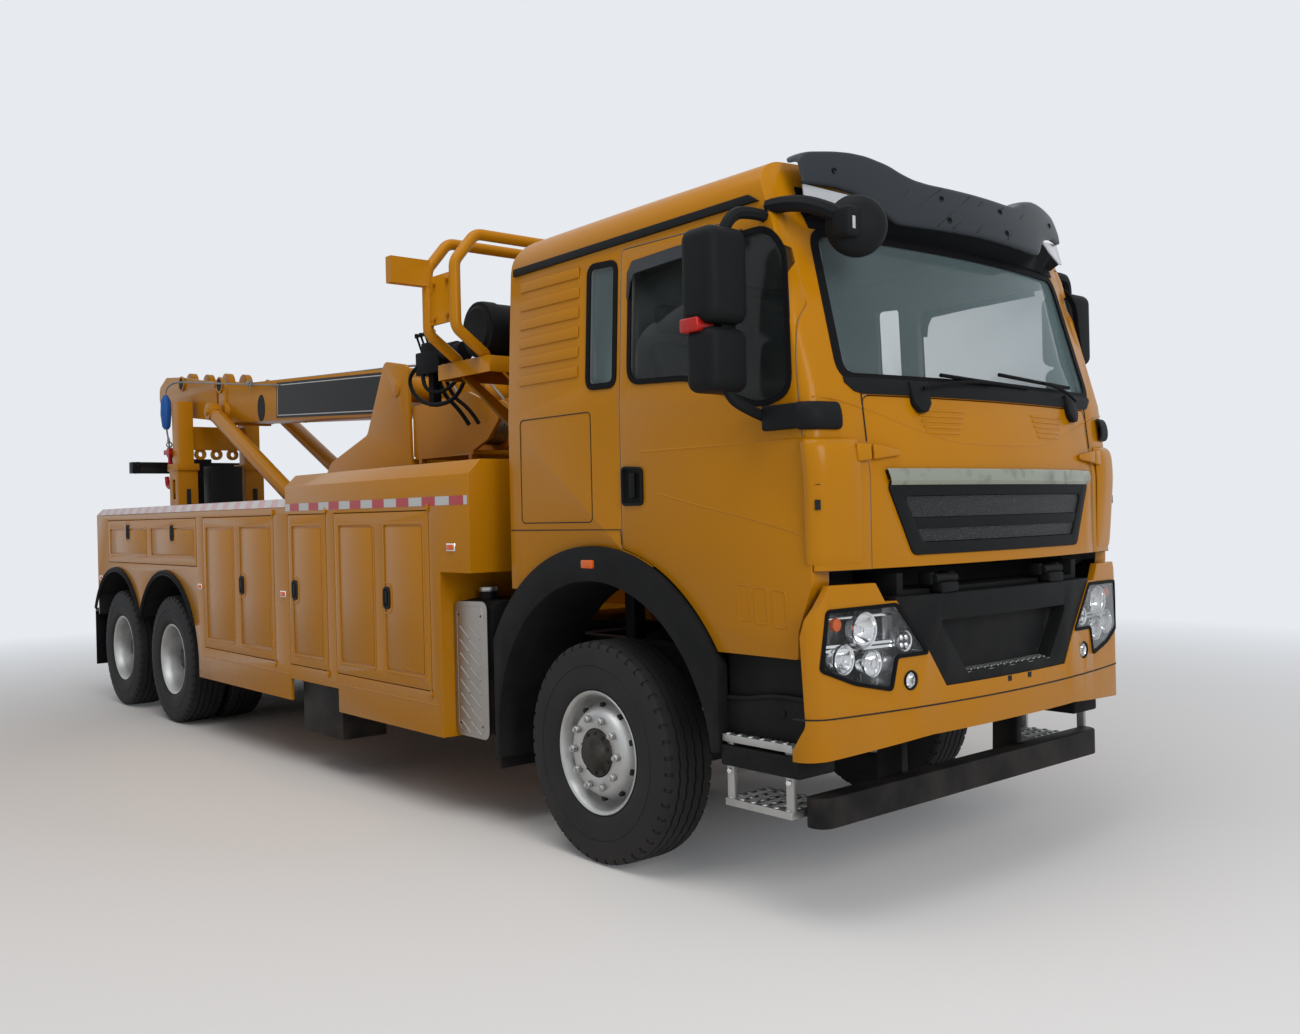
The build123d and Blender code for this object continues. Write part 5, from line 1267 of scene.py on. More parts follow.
def mirror_shapes():
    """Right mirror: two shells with glasses behind, and a red reflector between them."""
    shell = soft_block("upper", (0.985, -1.445, 2.445), (1.180, -1.220, 2.832), 0.050, 6)
    pick(shell, lambda centre, normal: normal.x < -0.95)
    bpy.ops.mesh.inset(thickness=0.004)
    done()
    lower = soft_block("lower", (1.000, -1.438, 2.170), (1.172, -1.222, 2.430), 0.046, 6)
    link = soft_block("link", (1.050, -1.33, 2.420), (1.120, -1.250, 2.460), 0.006)
    arm = rod("arm", path((1.150, -1.140, 2.080), (1.150, -1.230, 2.105), (1.125, -1.300, 2.150),
                          (1.110, -1.310, 2.210)), 0.024, 12)
    upper_arm = rod("arm", path((1.145, -1.085, 2.905), (1.150, -1.180, 2.910), (1.125, -1.280, 2.895),
                                (1.110, -1.305, 2.815)), 0.026, 12)
    yield "mirror_shell", [shell, lower, link, arm, upper_arm], black_plastic, "cab_door"
    red = soft_block("red", (0.995, -1.452, 2.412), (1.100, -1.352, 2.470), 0.010, 3)
    yield "mirror_reflector", red, red_lens, "cab_door"
    glass = soft_block("glass", (0.980, -1.400, 2.490), (0.988, -1.262, 2.790), 0.002)
    glass_low = soft_block("glass", (0.995, -1.395, 2.210), (1.003, -1.265, 2.390), 0.002)
    yield "mirror_glass", [glass, glass_low], chrome, "cab_door"


def close_mirror():
    """The round close-view mirror on its arm at the right roof corner."""
    centre = at(1.470, -0.900, 2.833)
    dish = [(-0.040, 0), (-0.040, 0.118), (-0.030, 0.126), (-0.004, 0.125), (0.022, 0.108), (0.042, 0.070),
            (0.050, 0.030), (0.051, 0)]
    head = turned("head", (0, 0, 0), dish, 48, "X")
    head.data.transform(Matrix.Translation(centre) @ Matrix.Rotation(radians(-38), 4, "Z"))
    arm = rod("arm", path((1.150, -1.075, 2.945), (1.250, -1.070, 2.945), (1.370, -1.020, 2.915),
                          (1.455, -0.965, 2.860)), 0.034, 14)
    boss = soft_block("boss", (1.420, -1.010, 2.770), (1.515, -0.925, 2.895), 0.02, 4)
    gathered("close_view_mirror", [head, arm, boss], black_plastic)
    label = soft_block("mirror_label", (1.514, -0.985, 2.800), (1.5165, -0.968, 2.850), 0.001)
    finished(label, white_lens)


PAD_VOXEL, PAD_TRAVEL = 0.014, 0.016


def puffed(piece):
    """A pad swollen by a short cloth simulation, with each point's travel capped."""
    modified(piece, "REMESH", mode="VOXEL", voxel_size=PAD_VOXEL)
    start = [vertex.co.copy() for vertex in piece.data.vertices]
    only(piece)
    cloth = piece.modifiers.new("Cloth", "CLOTH")
    cloth.settings.use_pressure = True
    cloth.settings.uniform_pressure_force = 4
    cloth.settings.effector_weights.gravity = 0
    for step in range(1, 21):
        bpy.context.scene.frame_set(step)
    bpy.ops.object.modifier_apply(modifier=cloth.name)
    bpy.context.scene.frame_set(1)
    for vertex, origin in zip(piece.data.vertices, start):
        travel = vertex.co - origin
        if travel.length > PAD_TRAVEL:
            vertex.co = origin + travel.normalized() * PAD_TRAVEL
    return modified(piece, "SUBSURF", levels=1, render_levels=1)


def pad(name, piece):
    """A swollen pad with a woven cover."""
    finished(named(puffed(piece), name), seat_cloth, angle=60)


def seat_shapes():
    """Two seats and the bunk as padded pieces, with their bases."""
    for label, y in (("passenger", -0.56), ("driver", 0.56)):
        cushion = soft_block("cushion", (0.280, y - 0.225, 1.905), (0.735, y + 0.225, 1.995), 0.030, 3)
        pad(f"{label}_cushion", cushion)
        profile = [(0.160, 1.990), (-0.035, 2.550), (0.045, 2.575), (0.242, 2.000)]
        back = upright("back", profile, y - 0.215, 0.43)
        pad(f"{label}_backrest", eased(back, 0.025, 3))
        profile = [(-0.050, 2.610), (-0.078, 2.755), (-0.006, 2.765), (0.030, 2.620)]
        rest = upright("rest", profile, y - 0.115, 0.23)
        pad(f"{label}_headrest", eased(rest, 0.020, 3))
        base = soft_block("base", (0.335, y - 0.175, 1.592), (0.695, y + 0.175, 1.895), 0.01)
        finished(named(base, f"{label}_seat_base"), dash_plastic)
    pad("bunk_mattress", soft_block("bunk", (-0.655, -1.035, 1.975), (-0.200, 1.035, 2.062), 0.025, 3))
    locker = soft_block("bunk_base", (-0.660, -1.050, 1.592), (-0.200, 1.050, 1.958), 0.01)
    finished(locker, lining_plastic)


def dashboard_shapes():
    """The dashboard and the steering wheel on its column."""
    profile = [(1.355, 1.595), (1.355, 2.148), (1.230, 2.188), (1.015, 2.128), (0.985, 1.955),
               (1.150, 1.855), (1.180, 1.595)]
    board = upright("dashboard", profile, -0.985, 1.97)
    finished(eased(board, 0.02, 3), dash_plastic)
    parts = [torus((0, 0, 0), 0.215, 0.015, 48, 12), eased(drum("hub", (0, 0, 0), 0.060, 0.030, "Z"), 0.008)]
    for index in range(4):
        spoke = eased(block("spoke", (0.0, -0.013, -0.006), (0.21, 0.013, 0.006)), 0.004)
        spoke.data.transform(Matrix.Rotation(radians(45 + 90 * index), 4, "Z"))
        parts.append(spoke)
    wheel = joined(parts, "steering_wheel_rim")
    wheel.data.transform(Matrix.Translation(at(0.950, 0.560, 2.110)) @ Matrix.Rotation(radians(-57), 4, "Y"))
    finished(wheel, seal_rubber)
    column = rod("steering_column", path((1.090, 0.560, 2.020), (0.962, 0.560, 2.102)), 0.032, 12, False)
    finished(column, dash_plastic)
    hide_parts("cab_interior")


LINING = 0.002


def cab_linings():
    """Pale lining inside the cab and its doors, and near-black painted shade under the cab, in the rear
    arches and under the lockers.
    """
    def faces_point(place, lowest, highest):
        """A test for faces between two heights that look towards a point."""
        return lambda centre, normal: lowest < centre.z < highest and normal.dot(place - centre) > 0

    peeled("cab_shell", "cab_lining", faces_point(at(0.35, 0, 2.35), 1.56, 3.2), LINING, lining_plastic,
           "chassis")
    # Painted shade: the cab's inner faces below its floor in near black
    peeled("cab_shell", "cab_underside", faces_point(at(0.2, 0, 0.9), 0.0, 1.56), LINING, seams_and_painted_shade, "chassis")
    for side, sign in SIDES.items():
        def in_cab(centre, normal):
            """The door's inner side and the reveal of its window."""
            in_window = at(0.285, 0, 0).x < centre.x < at(1.165, 0, 0).x and 2.12 < centre.z < 2.86
            return abs(normal.y) < 0.6 and in_window or normal.y * sign < -0.6

        peeled(f"cab_door_{side}", f"door_lining_{side}", in_cab, LINING, lining_plastic, f"cab_door_{side}")

        def in_arch(centre, normal):
            """The faces round the rear wheels and the locker's underside."""
            for x in REAR_AXLES.values():
                inwards = at(x, centre.y, AXLE_Z) - centre
                if inwards.length < 0.775 and normal.dot(inwards) > 0.3 * inwards.length:
                    return True
            return normal.z < -0.9 and centre.z < 0.90 and centre.x < at(-5.0, 0, 0).x

        # Painted shade: near black inside the rear arches and under the lockers
        peeled(f"lockers_{side}", f"arch_painted_shade_{side}", in_arch, LINING, seams_and_painted_shade, "chassis")


# Front end

LAMP_AT = {"main": (0.913, 1.202, 0.066), "outer": (1.022, 1.091, 0.054), "inner": (0.877, 1.064, 0.050)}
LAMP_OUTLINE = [(1.112, 1.291), (1.140, 1.056), (0.980, 0.992), (0.790, 0.951), (0.757, 1.083),
                (0.578, 1.085), (0.752, 1.299)]
FOG_LAMP = (0.680, 0.980)


def reflector(name, centre, radius):
    """A lamp's bowl with its ring and bulb shade, looking forward."""
    return turned(name, centre, [(-0.052, 0), (-0.050, radius * 0.25), (-0.030, radius * 0.72),
                                 (0.0, radius * 0.92), (0.006, radius), (0.0, radius * 1.06),
                                 (-0.040, radius * 0.9), (-0.060, radius * 0.3), (-0.060, 0)], 40, "X")


def headlamp_shapes():
    """Right lamp cluster: bowls with bulbs and rings, small lamps, bars and the amber indicator."""
    bowls, rings = [], []
    for y, z, radius in LAMP_AT.values():
        centre = on_bumper(-y, z, -0.030)
        bowls.append(reflector("bowl", centre, radius))
        rings.append(turned("ring", centre + Vector((0.004, 0, 0)),
                            [(0.0, radius), (0.010, radius * 1.04), (0.012, radius * 1.12),
                             (0.002, radius * 1.15)], 40, "X"))
        bowls.append(turned("bulb", centre + Vector((-0.02, 0, 0)),
                            [(-0.02, 0), (-0.02, 0.016), (0.012, 0.016), (0.022, 0.010), (0.024, 0)], 20,
                            "X"))
    small = on_bumper(-0.697, 1.143, -0.022)
    for dy, dz in ((-0.016, 0.014), (0.016, 0.014), (-0.016, -0.018), (0.016, -0.018)):
        bowls.append(turned("led", small + Vector((0, dy, dz)),
                            [(-0.01, 0), (-0.01, 0.013), (0.004, 0.013), (0.009, 0.007), (0.010, 0)], 16,
                            "X"))
    yield "lamp_bowls", bowls, lamp_bowl, "chassis"
    rings.append(turned("ring", small, [(0.0, 0.036), (0.008, 0.038), (0.010, 0.044), (0.0, 0.046)], 32, "X"))
    yield "lamp_rings", rings, chrome, "chassis"
    bars = [ribbon("bar", arc_points(-0.74, -1.10, z, -0.034, 10, on_bumper),
                   arc_points(-0.74, -1.10, z - 0.010, -0.030, 10, on_bumper), 0.004)
            for z in (1.262, 1.150, 1.132)]
    yield "lamp_bars", bars, lamp_bowl, "chassis"
    flasher = turned("lamp_flasher_right", on_bumper(-1.051, 1.232, -0.026),
                     [(-0.01, 0), (-0.01, 0.028), (0.008, 0.026), (0.014, 0.014), (0.015, 0)], 28, "X")
    yield "lamp_flasher", flasher, amber_lens, "chassis"


def fog_lamp_shapes():
    """The right fog lamp's bowl and ring."""
    fog = on_bumper(-FOG_LAMP[0], FOG_LAMP[1], -0.006)
    yield "fog_bowl", turned("fog_bowl_right", fog, [(-0.030, 0), (-0.020, 0.020), (0.002, 0.030),
                                                     (0.002, 0.034), (-0.034, 0.030), (-0.034, 0)], 32,
                             "X"), lamp_bowl, "chassis"
    ring = turned("fog_ring_right", fog + Vector((0.001, 0, 0)),
                  [(-0.006, 0.031), (0.004, 0.032), (0.008, 0.037), (0.006, 0.041), (-0.006, 0.0415)], 36,
                  "X")
    yield "fog_ring", ring, black_plastic, "chassis"


def lamp_glasses():
    """The clear covers with their dark tubs and black edges."""
    cover = peeled("headlamps", "headlamp_covers", lambda centre, normal: normal.x > 0.25, 0.0015,
                   lens_glass, "chassis")
    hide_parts("headlamps")
    peeled("headlamps", "headlamp_tubs", lambda centre, normal: normal.x <= 0.25, -0.0015, lamp_tub,
           "chassis")
    for side, sign in SIDES.items():
        outline = subdivided([(sign * y, z) for y, z in rounded(LAMP_OUTLINE, 0.018, 4)], 0.05)
        finished(band_round(f"headlamp_edge_{side}", outline, -0.009, 0.006, on_bumper, 0.010), seal_rubber)


def bumper_path(z, proud):
    """Points along the bumper's face from side to side."""
    points = []
    for index in range(-24, 25):
        point, normal = bumper_plan(abs(index) / 24)
        point = point + normal * proud
        points.append(at(point.x, point.y if index > 0 else -point.y, z))
    return points


def bumper_shapes():
    """The seam round the bumper, painted shade in its screw holes and the panels behind its ends."""
    seam = rod("bumper_seam",
               [at(1.394, -1.1955, 0.865), *bumper_path(0.865, 0.0004), at(1.394, 1.1955, 0.865)], 0.0035,
               6, False)
    finished(seam, seams_and_painted_shade)
    # Painted shade: near-black blocks in the plate's screw holes
    holes = [block("hole", on_bumper(y, 0.910, -0.010), on_bumper(y + 0.030, 0.934, 0.001))
             for y in (-0.041, 0.120)]
    gathered("plate_screw_holes", holes, seams_and_painted_shade)
    flank = []
    for sign in (-1, 1):
        lower = upright("fender", [(0.862, 0.748), (0.862, 0.905), (1.36, 0.925), (1.36, 0.748)],
                        sign * 1.105, sign * -0.004)
        upper = upright("fender", [(0.862, 0.80), (0.862, 1.12), (1.30, 1.40), (1.36, 1.40), (1.36, 0.80)],
                        sign * 1.085, sign * -0.004)
        lip = rod("fender",
                  [at(x, sign * 1.106, z) for x, z in ((0.862, 0.895), (0.95, 0.893), (1.12, 0.925),
                                                       (1.25, 0.930), (1.36, 0.925))], 0.009, 10)
        bolt = drum("fender", at(1.197, sign * 1.108, 0.860), 0.014, 0.008, "Y", 20)
        flank += [eased(lower, 0.002), eased(upper, 0.002), lip, bolt]
    gathered("fender_panels", flank, black_plastic)


def lower_grille_shapes():
    """Air screen, step tread and hinges between the headlamps, and a near-black sheet behind the gap as
    painted shade.
    """
    screen = ribbon("lower_screen", [on_bumper(y, 1.205, -0.072) for y in (-0.495, -0.25, 0, 0.25, 0.495)],
                    [on_bumper(y, 0.992, -0.072) for y in (-0.335, -0.17, 0, 0.17, 0.335)], 0.002)
    finished(screen, air_screen)
    tread = ribbon("step_tread", [on_bumper(y, 0.990, -0.062) for y in (-0.330, -0.16, 0, 0.16, 0.330)],
                   [on_bumper(y, 0.978, -0.004) for y in (-0.325, -0.16, 0, 0.16, 0.325)], 0.006)
    finished(eased(tread, 0.002), step_aluminium)
    studs = [drum("stud", on_bumper(-0.29 + 0.0483 * i, 0.988, -0.015 - 0.018 * j), 0.006, 0.006, "Z", 8)
             for i in range(13) for j in range(2)]
    gathered("step_tread_studs", studs, step_aluminium)
    hinges = []
    for y in (-0.42, 0.42):
        knuckle = soft_block("knuckle", (1.475, y - 0.060, 1.325), (1.540, y + 0.060, 1.372), 0.012, 3)
        pin = drum("pin", at(1.505, y, 1.388), 0.020, 0.150, "Y", 20)
        ears = [soft_block("ear", (1.430, y + low, 1.360), (1.500, y + high, 1.415), 0.008)
                for low, high in ((-0.085, -0.055), (0.055, 0.085))]
        hinges += [knuckle, pin, *ears]
    gathered("grille_hinges", hinges, black_plastic)
    # Painted shade: a near-black sheet behind the gap between the headlamps
    back = soft_block("gap_painted_shade", (1.20, -0.98, 1.05), (1.235, 0.98, 1.50), 0.002)
    finished(back, seams_and_painted_shade)


def step_shapes():
    """Right steps: raised grips on both treads, the bolts of their hangers and the box between."""
    grips = []
    for z, x0, y0, y1 in ((0.7465, 0.905, -1.135, -0.915), (0.4715, 0.900, -1.120, -0.895)):
        for i in range(6):
            for j in range(5):
                place = at(x0 + 0.066 * i, y0 + (y1 - y0) * j / 4, z)
                grips.append(torus(place, 0.013, 0.0035, 10, 5))
    yield "step_grips", grips, step_aluminium, "chassis"
    bolts = [hex_nut("bolt", at(x, -1.134, 0.588), 0.022, 0.014) for x in (0.905, 1.245)]
    yield "step_bolts", bolts, chrome, "chassis"
    box = soft_block("step_box_right", (0.865, -1.152, 0.610), (1.318, -0.930, 0.700), 0.012, 3)
    yield "step_box", box, black_plastic, "chassis"


# Body

def on_locker(proud):
    """A placing function for outlines on the right lockers' face."""
    return lambda x, z, _: at(x, -LOCKER_SIDE - proud, z)


def latch(name, x, z, body):
    """A recessed paddle latch: dark iron rim, dark well and paddle."""
    ring = band_round("rim", rounded_box(x - 0.036, x + 0.036, z - 0.062, z + 0.062, 0.034),
                      -0.008, 0.006, on_locker(0.003), 0.010)
    eased(ring, 0.003)
    well = upright("well", rounded_box(x - 0.030, x + 0.030, z - 0.056, z + 0.056, 0.028),
                   -LOCKER_SIDE + 0.002, -0.006)
    paddle = soft_block("paddle", (x - 0.016, -LOCKER_SIDE - 0.009, z - 0.036),
                        (x + 0.016, -LOCKER_SIDE - 0.003, z + 0.044), 0.004, 2)
    dish = band_round("dish", rounded_box(x - 0.060, x + 0.060, z - 0.092, z + 0.092, 0.055),
                      -0.006, 0.004, on_locker(0.0), 0.005)
    eased(dish, 0.0015, 1)
    yield name + "_rim", ring, cast_iron, body
    yield name + "_well", well, seal_rubber, body
    yield name + "_paddle", paddle, black_plastic, body
    yield name + "_dish", dish, body_paint, body


PANELS = {"locker_lid": (-7.400, -5.060, 1.345, 1.740, 2),
          "locker_door_a": (-4.920, -3.540, 0.707, 1.740, 2),
          "locker_door_b": (-3.300, -2.700, 0.707, 1.740, 1),
          "locker_door_c": (-2.587, -1.380, 0.707, 1.740, 2)}
LATCHES = [("lid_rear", -6.80, 1.630, "locker_lid"), ("lid_front", -5.625, 1.618, "locker_lid"),
           ("door_a", -4.133, 1.228, "locker_door_a"), ("door_b", -3.198, 1.223, "locker_door_b"),
           ("door_c", -1.890, 1.221, "locker_door_c")]


def locker_shapes():
    """Latches, beads and hinges of the right lockers."""
    for name, x, z, body in LATCHES:
        yield from latch(name + "_latch", x, z, body)
    for body, (x0, x1, z0, z1, count) in PANELS.items():
        rims = []
        pitch = (x1 - x0) / count
        for index in range(count):
            a, b = x0 + pitch * index + 0.068, x0 + pitch * (index + 1) - 0.068
            rim = band_round("rim", rounded_box(a, b, z0 + 0.078, z1 - 0.078, 0.02), -0.003, 0.013,
                             on_locker(-0.001), 0.009)
            rims.append(eased(rim, 0.004, 2))
        yield f"{body}_beads", rims, body_paint, body
    pins = []
    for body, (x0, x1, z0, z1, count) in PANELS.items():
        corners = [] if body == "locker_lid" else [(x1 - 0.004, z0 - 0.014), (x1 - 0.004, z1 + 0.014)]
        for x, z in corners:
            pins.append(eased(drum("pin", at(x, -LOCKER_SIDE - 0.004, z), 0.012, 0.012, "Y", 16), 0.003))
            pins.append(eased(drum("pin", at(x, -LOCKER_SIDE - 0.004, z), 0.006, 0.046, "Z", 10), 0.002))
    yield "hinge_pins", pins, body_paint, "chassis"


def marker_shapes():
    """Amber markers along the right lockers."""
    for name, x, z in (("rear", -7.65, 1.19), ("middle", -5.0, 1.19), ("front", -3.39, 1.19),
                       ("nose", -1.14, 1.53)):
        base = soft_block("base", (x - 0.045, -LOCKER_SIDE - 0.006, z - 0.022),
                          (x + 0.045, -LOCKER_SIDE + 0.001, z + 0.022), 0.004)
        yield f"marker_base_{name}", base, chrome, "chassis"
        lens = soft_block("lens", (x - 0.034, -LOCKER_SIDE - 0.014, z - 0.015),
                          (x + 0.034, -LOCKER_SIDE - 0.004, z + 0.015), 0.006, 3)
        yield f"marker_lens_{name}", lens, amber_lens, "chassis"


def body_edge_shapes():
    """Tapes, skirt folds, arch lips and mud flaps along the right side of the body."""
    outline = [(-3.325, 1.763), (-3.325, 1.813), (-0.962, 1.813), (-0.962, 1.763)]
    strip = upright("block_tape_right", outline, -LOCKER_SIDE - 0.0006, -0.001)
    yield "block_tape", strip, block_tape, "chassis"
    strip = plate("slant_tape_right", path((-7.755, -1.2515, 1.792), (-7.755, -1.1935, 1.8505),
                                           (-3.335, -1.1935, 1.8505), (-3.335, -1.2515, 1.792)),
                  (0, -0.0008, 0.0008))
    yield "slant_tape", strip, slant_tape, "chassis"
    folds = [rod("fold", [at(x, -LOCKER_SIDE + 0.0015, 0.640) for x in ends], 0.005, 8, False)
             for ends in ((-4.95, -3.31), (-2.55, -1.30))]
    yield "skirt_fold", folds, body_paint, "chassis"
    lip = []
    for x in REAR_AXLES.values():
        for radius in (0.752, 0.728):
            points = []
            for index in range(25):
                turn = pi * (0.155 + 0.69 * index / 24)
                points.append(at(x + radius * cos(turn), -LOCKER_SIDE - 0.010, AXLE_Z + radius * sin(turn)))
            lip.append(rod("lip", points, 0.010, 8))
    yield "arch_lip_beads", lip, black_plastic, "chassis"
    outside = min(corner.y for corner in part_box("wheel_arches"))
    base = Vector((at(0.107, 0, 0).x, outside, 1.459))
    marker = eased(block("marker_lens_arch_right", base + Vector((-0.042, -0.012, -0.020)),
                         base + Vector((0.042, 0.010, 0.020))), 0.008, 3)
    yield "marker_lens_arch", marker, amber_lens, "chassis"
    flap = soft_block("rear_flap_right", (-7.935, -1.235, 0.330), (-7.920, -0.560, 0.860), 0.003)
    yield "rear_flap", flap, seal_rubber, "chassis"
    bracket = soft_block("rear_flap_bar_right", (-7.925, -1.235, 0.850), (-7.770, -0.560, 0.885), 0.004)
    yield "rear_flap_bar", bracket, chassis_paint, "chassis"


COVER_SIDE = 1.1652


def tank_shapes():
    """Right-hand bright cover with pressed diagonals, the tank's band and its cap."""
    rim = band_round("cover_bead",
                     rounded([(-1.235, 0.505), (-1.235, 1.200), (-0.970, 1.208), (-0.970, 0.505)], 0.06, 8),
                     -0.004, 0.004, lambda u, w, proud: at(u, -COVER_SIDE, w), 0.006)
    eased(rim, 0.002)
    bars = [rim]
    for index in range(8):
        z = 1.085 - index * 0.075
        for x0, x1 in ((-1.205, -1.115), (-1.105, -1.000)):
            bars.append(rod("bar", path((x0, -1.1650, z), (x1, -1.1650, z - 0.062)), 0.0055, 8, False))
    outline = rounded([(-1.262, 0.477), (-1.262, 1.223), (-0.925, 1.233), (-0.925, 0.477)], 0.058, 8)
    face = upright("tank_cover_face", outline, -COVER_SIDE, -0.0015)
    gathered("tank_cover_ribs", [face] + bars, cover_steel)
    rivets = [drum("rivet", at(x, -1.166, z), 0.006, 0.004, "Y", 10) for x in (-1.215, -0.990)
              for z in (1.150, 0.545)]
    gathered("tank_cover_rivets", rivets, seal_rubber)
    cap = eased(drum("tank_cap", at(-1.160, -1.000, 1.285), 0.052, 0.030, "Z", 24), 0.006)
    finished(cap, wheel_silver)


def hoop_bolts():
    """Bolts of the guard hoops and the slats of the shelf between."""
    bolts = [hex_nut("bolt", at(x, sign * 1.158, z), 0.026, 0.012) for sign in (-1, 1)
             for x in (-1.42, -1.28) for z in (2.84, 3.04)]
    gathered("hoop_bolts", bolts, gear_paint)
    slats = [soft_block("slat", (-1.62 + 0.066 * i, -0.998, 2.598), (-1.592 + 0.066 * i, 0.998, 2.606),
                        0.002) for i in range(8)]
    gathered("shelf_slats", slats, gear_paint)


def valve_shapes():
    """The valve block with its levers."""
    parts = [soft_block("valve", (-2.46, -0.70, 2.640), (-2.16, -0.58, 2.790), 0.008),
             soft_block("valve", (-2.40, -0.69, 2.785), (-2.22, -0.60, 2.850), 0.008),
             eased(drum("valve", at(-2.06, -0.66, 2.765), 0.055, 0.16, "X", 24), 0.008),
             eased(drum("valve", at(-1.94, -0.66, 2.745), 0.062, 0.10, "X", 24), 0.008),
             block("valve", at(-2.36, -0.66, 2.430), at(-2.30, -0.60, 2.650))]
    for index in range(5):
        x = -2.43 + 0.055 * index
        parts.append(rod("lever", path((x, -0.66, 2.780), (x - 0.01, -0.68, 2.86), (x - 0.02, -0.69, 2.90)),
                         0.008, 8))
        parts.append(eased(drum("knob", at(x - 0.02, -0.69, 2.905), 0.014, 0.03, "Z", 12), 0.005))
    gathered("valve_block", parts, seal_rubber)


def air_cleaner_drum():
    """The air cleaner's drum, where the picture shows it."""
    shell = [(-0.24, 0), (-0.24, 0.120), (-0.225, 0.140), (-0.225, 0.160), (-0.20, 0.165), (-0.14, 0.165),
             (-0.135, 0.158), (0.10, 0.158), (0.105, 0.165), (0.16, 0.165), (0.18, 0.150), (0.20, 0.0)]
    finished(turned("air_cleaner_drum", at(-1.300, -0.720, 2.775), shell, 48), black_plastic)


def hose_shapes():
    """Pressure hoses from the valve block and the air cleaner."""
    hoses = [[(-2.44, -0.69, 2.70), (-2.55, -0.70, 2.66), (-2.52, -0.70, 2.54), (-2.34, -0.70, 2.44),
              (-2.10, -0.70, 2.42), (-1.93, -0.69, 2.47), (-1.88, -0.68, 2.56)],
             [(-2.38, -0.69, 2.64), (-2.36, -0.70, 2.54), (-2.18, -0.68, 2.50), (-2.00, -0.66, 2.56),
              (-1.95, -0.64, 2.66)],
             [(-2.30, -0.62, 2.64), (-2.30, -0.60, 2.52), (-2.20, -0.52, 2.40), (-2.16, -0.48, 2.30)],
             [(-2.22, -0.62, 2.64), (-2.20, -0.60, 2.50), (-2.08, -0.52, 2.40), (-2.04, -0.48, 2.30)],
             [(-1.30, -0.60, 2.93), (-1.20, -0.62, 2.99), (-1.02, -0.60, 3.00), (-0.93, -0.60, 2.955)]]
    finished(joined([rod("hose", [at(*point) for point in hose], 0.014, 10) for hose in hoses],
                    "pressure_hoses"), seal_rubber)


def air_cleaner_bands():
    """Bands and end cap of the air cleaner across the cab's back."""
    rings = []
    for y in (-0.762, -0.70, -0.42, -0.358):
        rings.append(turned("ring", at(-0.93, y, 2.790),
                            [(-0.008, 0.160), (-0.008, 0.170), (0.008, 0.170), (0.008, 0.160)], 48))
    rings.append(turned("ring", at(-0.93, -0.775, 2.790),
                        [(-0.010, 0), (-0.010, 0.150), (0.0, 0.158), (0.008, 0.130), (0.008, 0)], 48))
    gathered("air_cleaner_bands", rings, black_plastic)


# Recovery gear

PIVOT = (-3.150, 2.630)
RISE = radians(3.3)
ROPE_RADIUS = 0.0095
HEAD_ROPE_Y, HOOK_Y, HOOK_SHIFT = 0.262, 0.405, 0.07


def on_boom(u, y, w):
    """A point u behind the pivot and w above the boom's axis."""
    return at(PIVOT[0] - u * cos(RISE) + w * sin(RISE), y, PIVOT[1] + u * sin(RISE) + w * cos(RISE))


def board_shapes():
    """The board on each side of the boom, black with a white border, and painted shade in the opening behind
    it.
    """
    for side, sign in SIDES.items():
        y = sign * 0.2155
        face = [on_boom(u, y, w) for u, w in ((0.55, -0.150), (0.55, 0.170), (2.70, 0.170), (2.70, -0.150))]
        finished(plate(f"board_{side}", face, (0, sign * 0.004, 0)), board_black, "boom")
        lines = []
        for (a, b), (c, d) in (((0.572, -0.130), (0.580, 0.150)), ((2.670, -0.130), (2.678, 0.150)),
                               ((0.572, -0.130), (2.678, -0.122)), ((0.572, 0.142), (2.678, 0.150))):
            corners = [on_boom(u, y + sign * 0.0042, w) for u, w in ((a, b), (a, d), (c, d), (c, b))]
            lines.append(plate("line", corners, (0, sign * 0.0008, 0)))
        gathered(f"board_border_{side}", lines, board_white, "boom")
        # Painted shade: a near-black sheet fills the opening behind the board
        loop = [(-6.20 + 0.085 * cos(pi * i / 14), 2.755 + 0.125 * sin(pi * i / 14)) for i in range(28)]
        opening = upright(f"boom_opening_{side}", loop, sign * 0.2152, sign * 0.003)
        finished(opening, seams_and_painted_shade, "boom")


def rope_shapes():
    """The two winch ropes, parted before the boom's end, and their coils on the drums."""
    for side, sign in SIDES.items():
        parting = at(-2.93, sign * 0.167, 2.712)
        finished(rod(f"winch_feed_{side}", [at(-2.62, sign * 0.20, 2.44), parting], ROPE_RADIUS, 8),
                 rope_steel)
        points = [parting, at(-2.95, sign * 0.165, 2.73), on_boom(0.06, sign * 0.15, 0.214),
                  on_boom(1.4, sign * 0.12, 0.208), on_boom(2.8, sign * 0.10, 0.206),
                  on_boom(3.95, sign * 0.09, 0.206)]
        finished(rod(f"winch_rope_{side}", points, ROPE_RADIUS, 8), rope_steel, "boom")
        coils = [torus(at(-2.42, sign * (0.085 + 0.0205 * i), 2.330), 0.128, 0.011, 36, 6, (pi / 2, 0, 0))
                 for i in range(13)]
        gathered(f"winch_coil_{side}", coils, rope_steel)


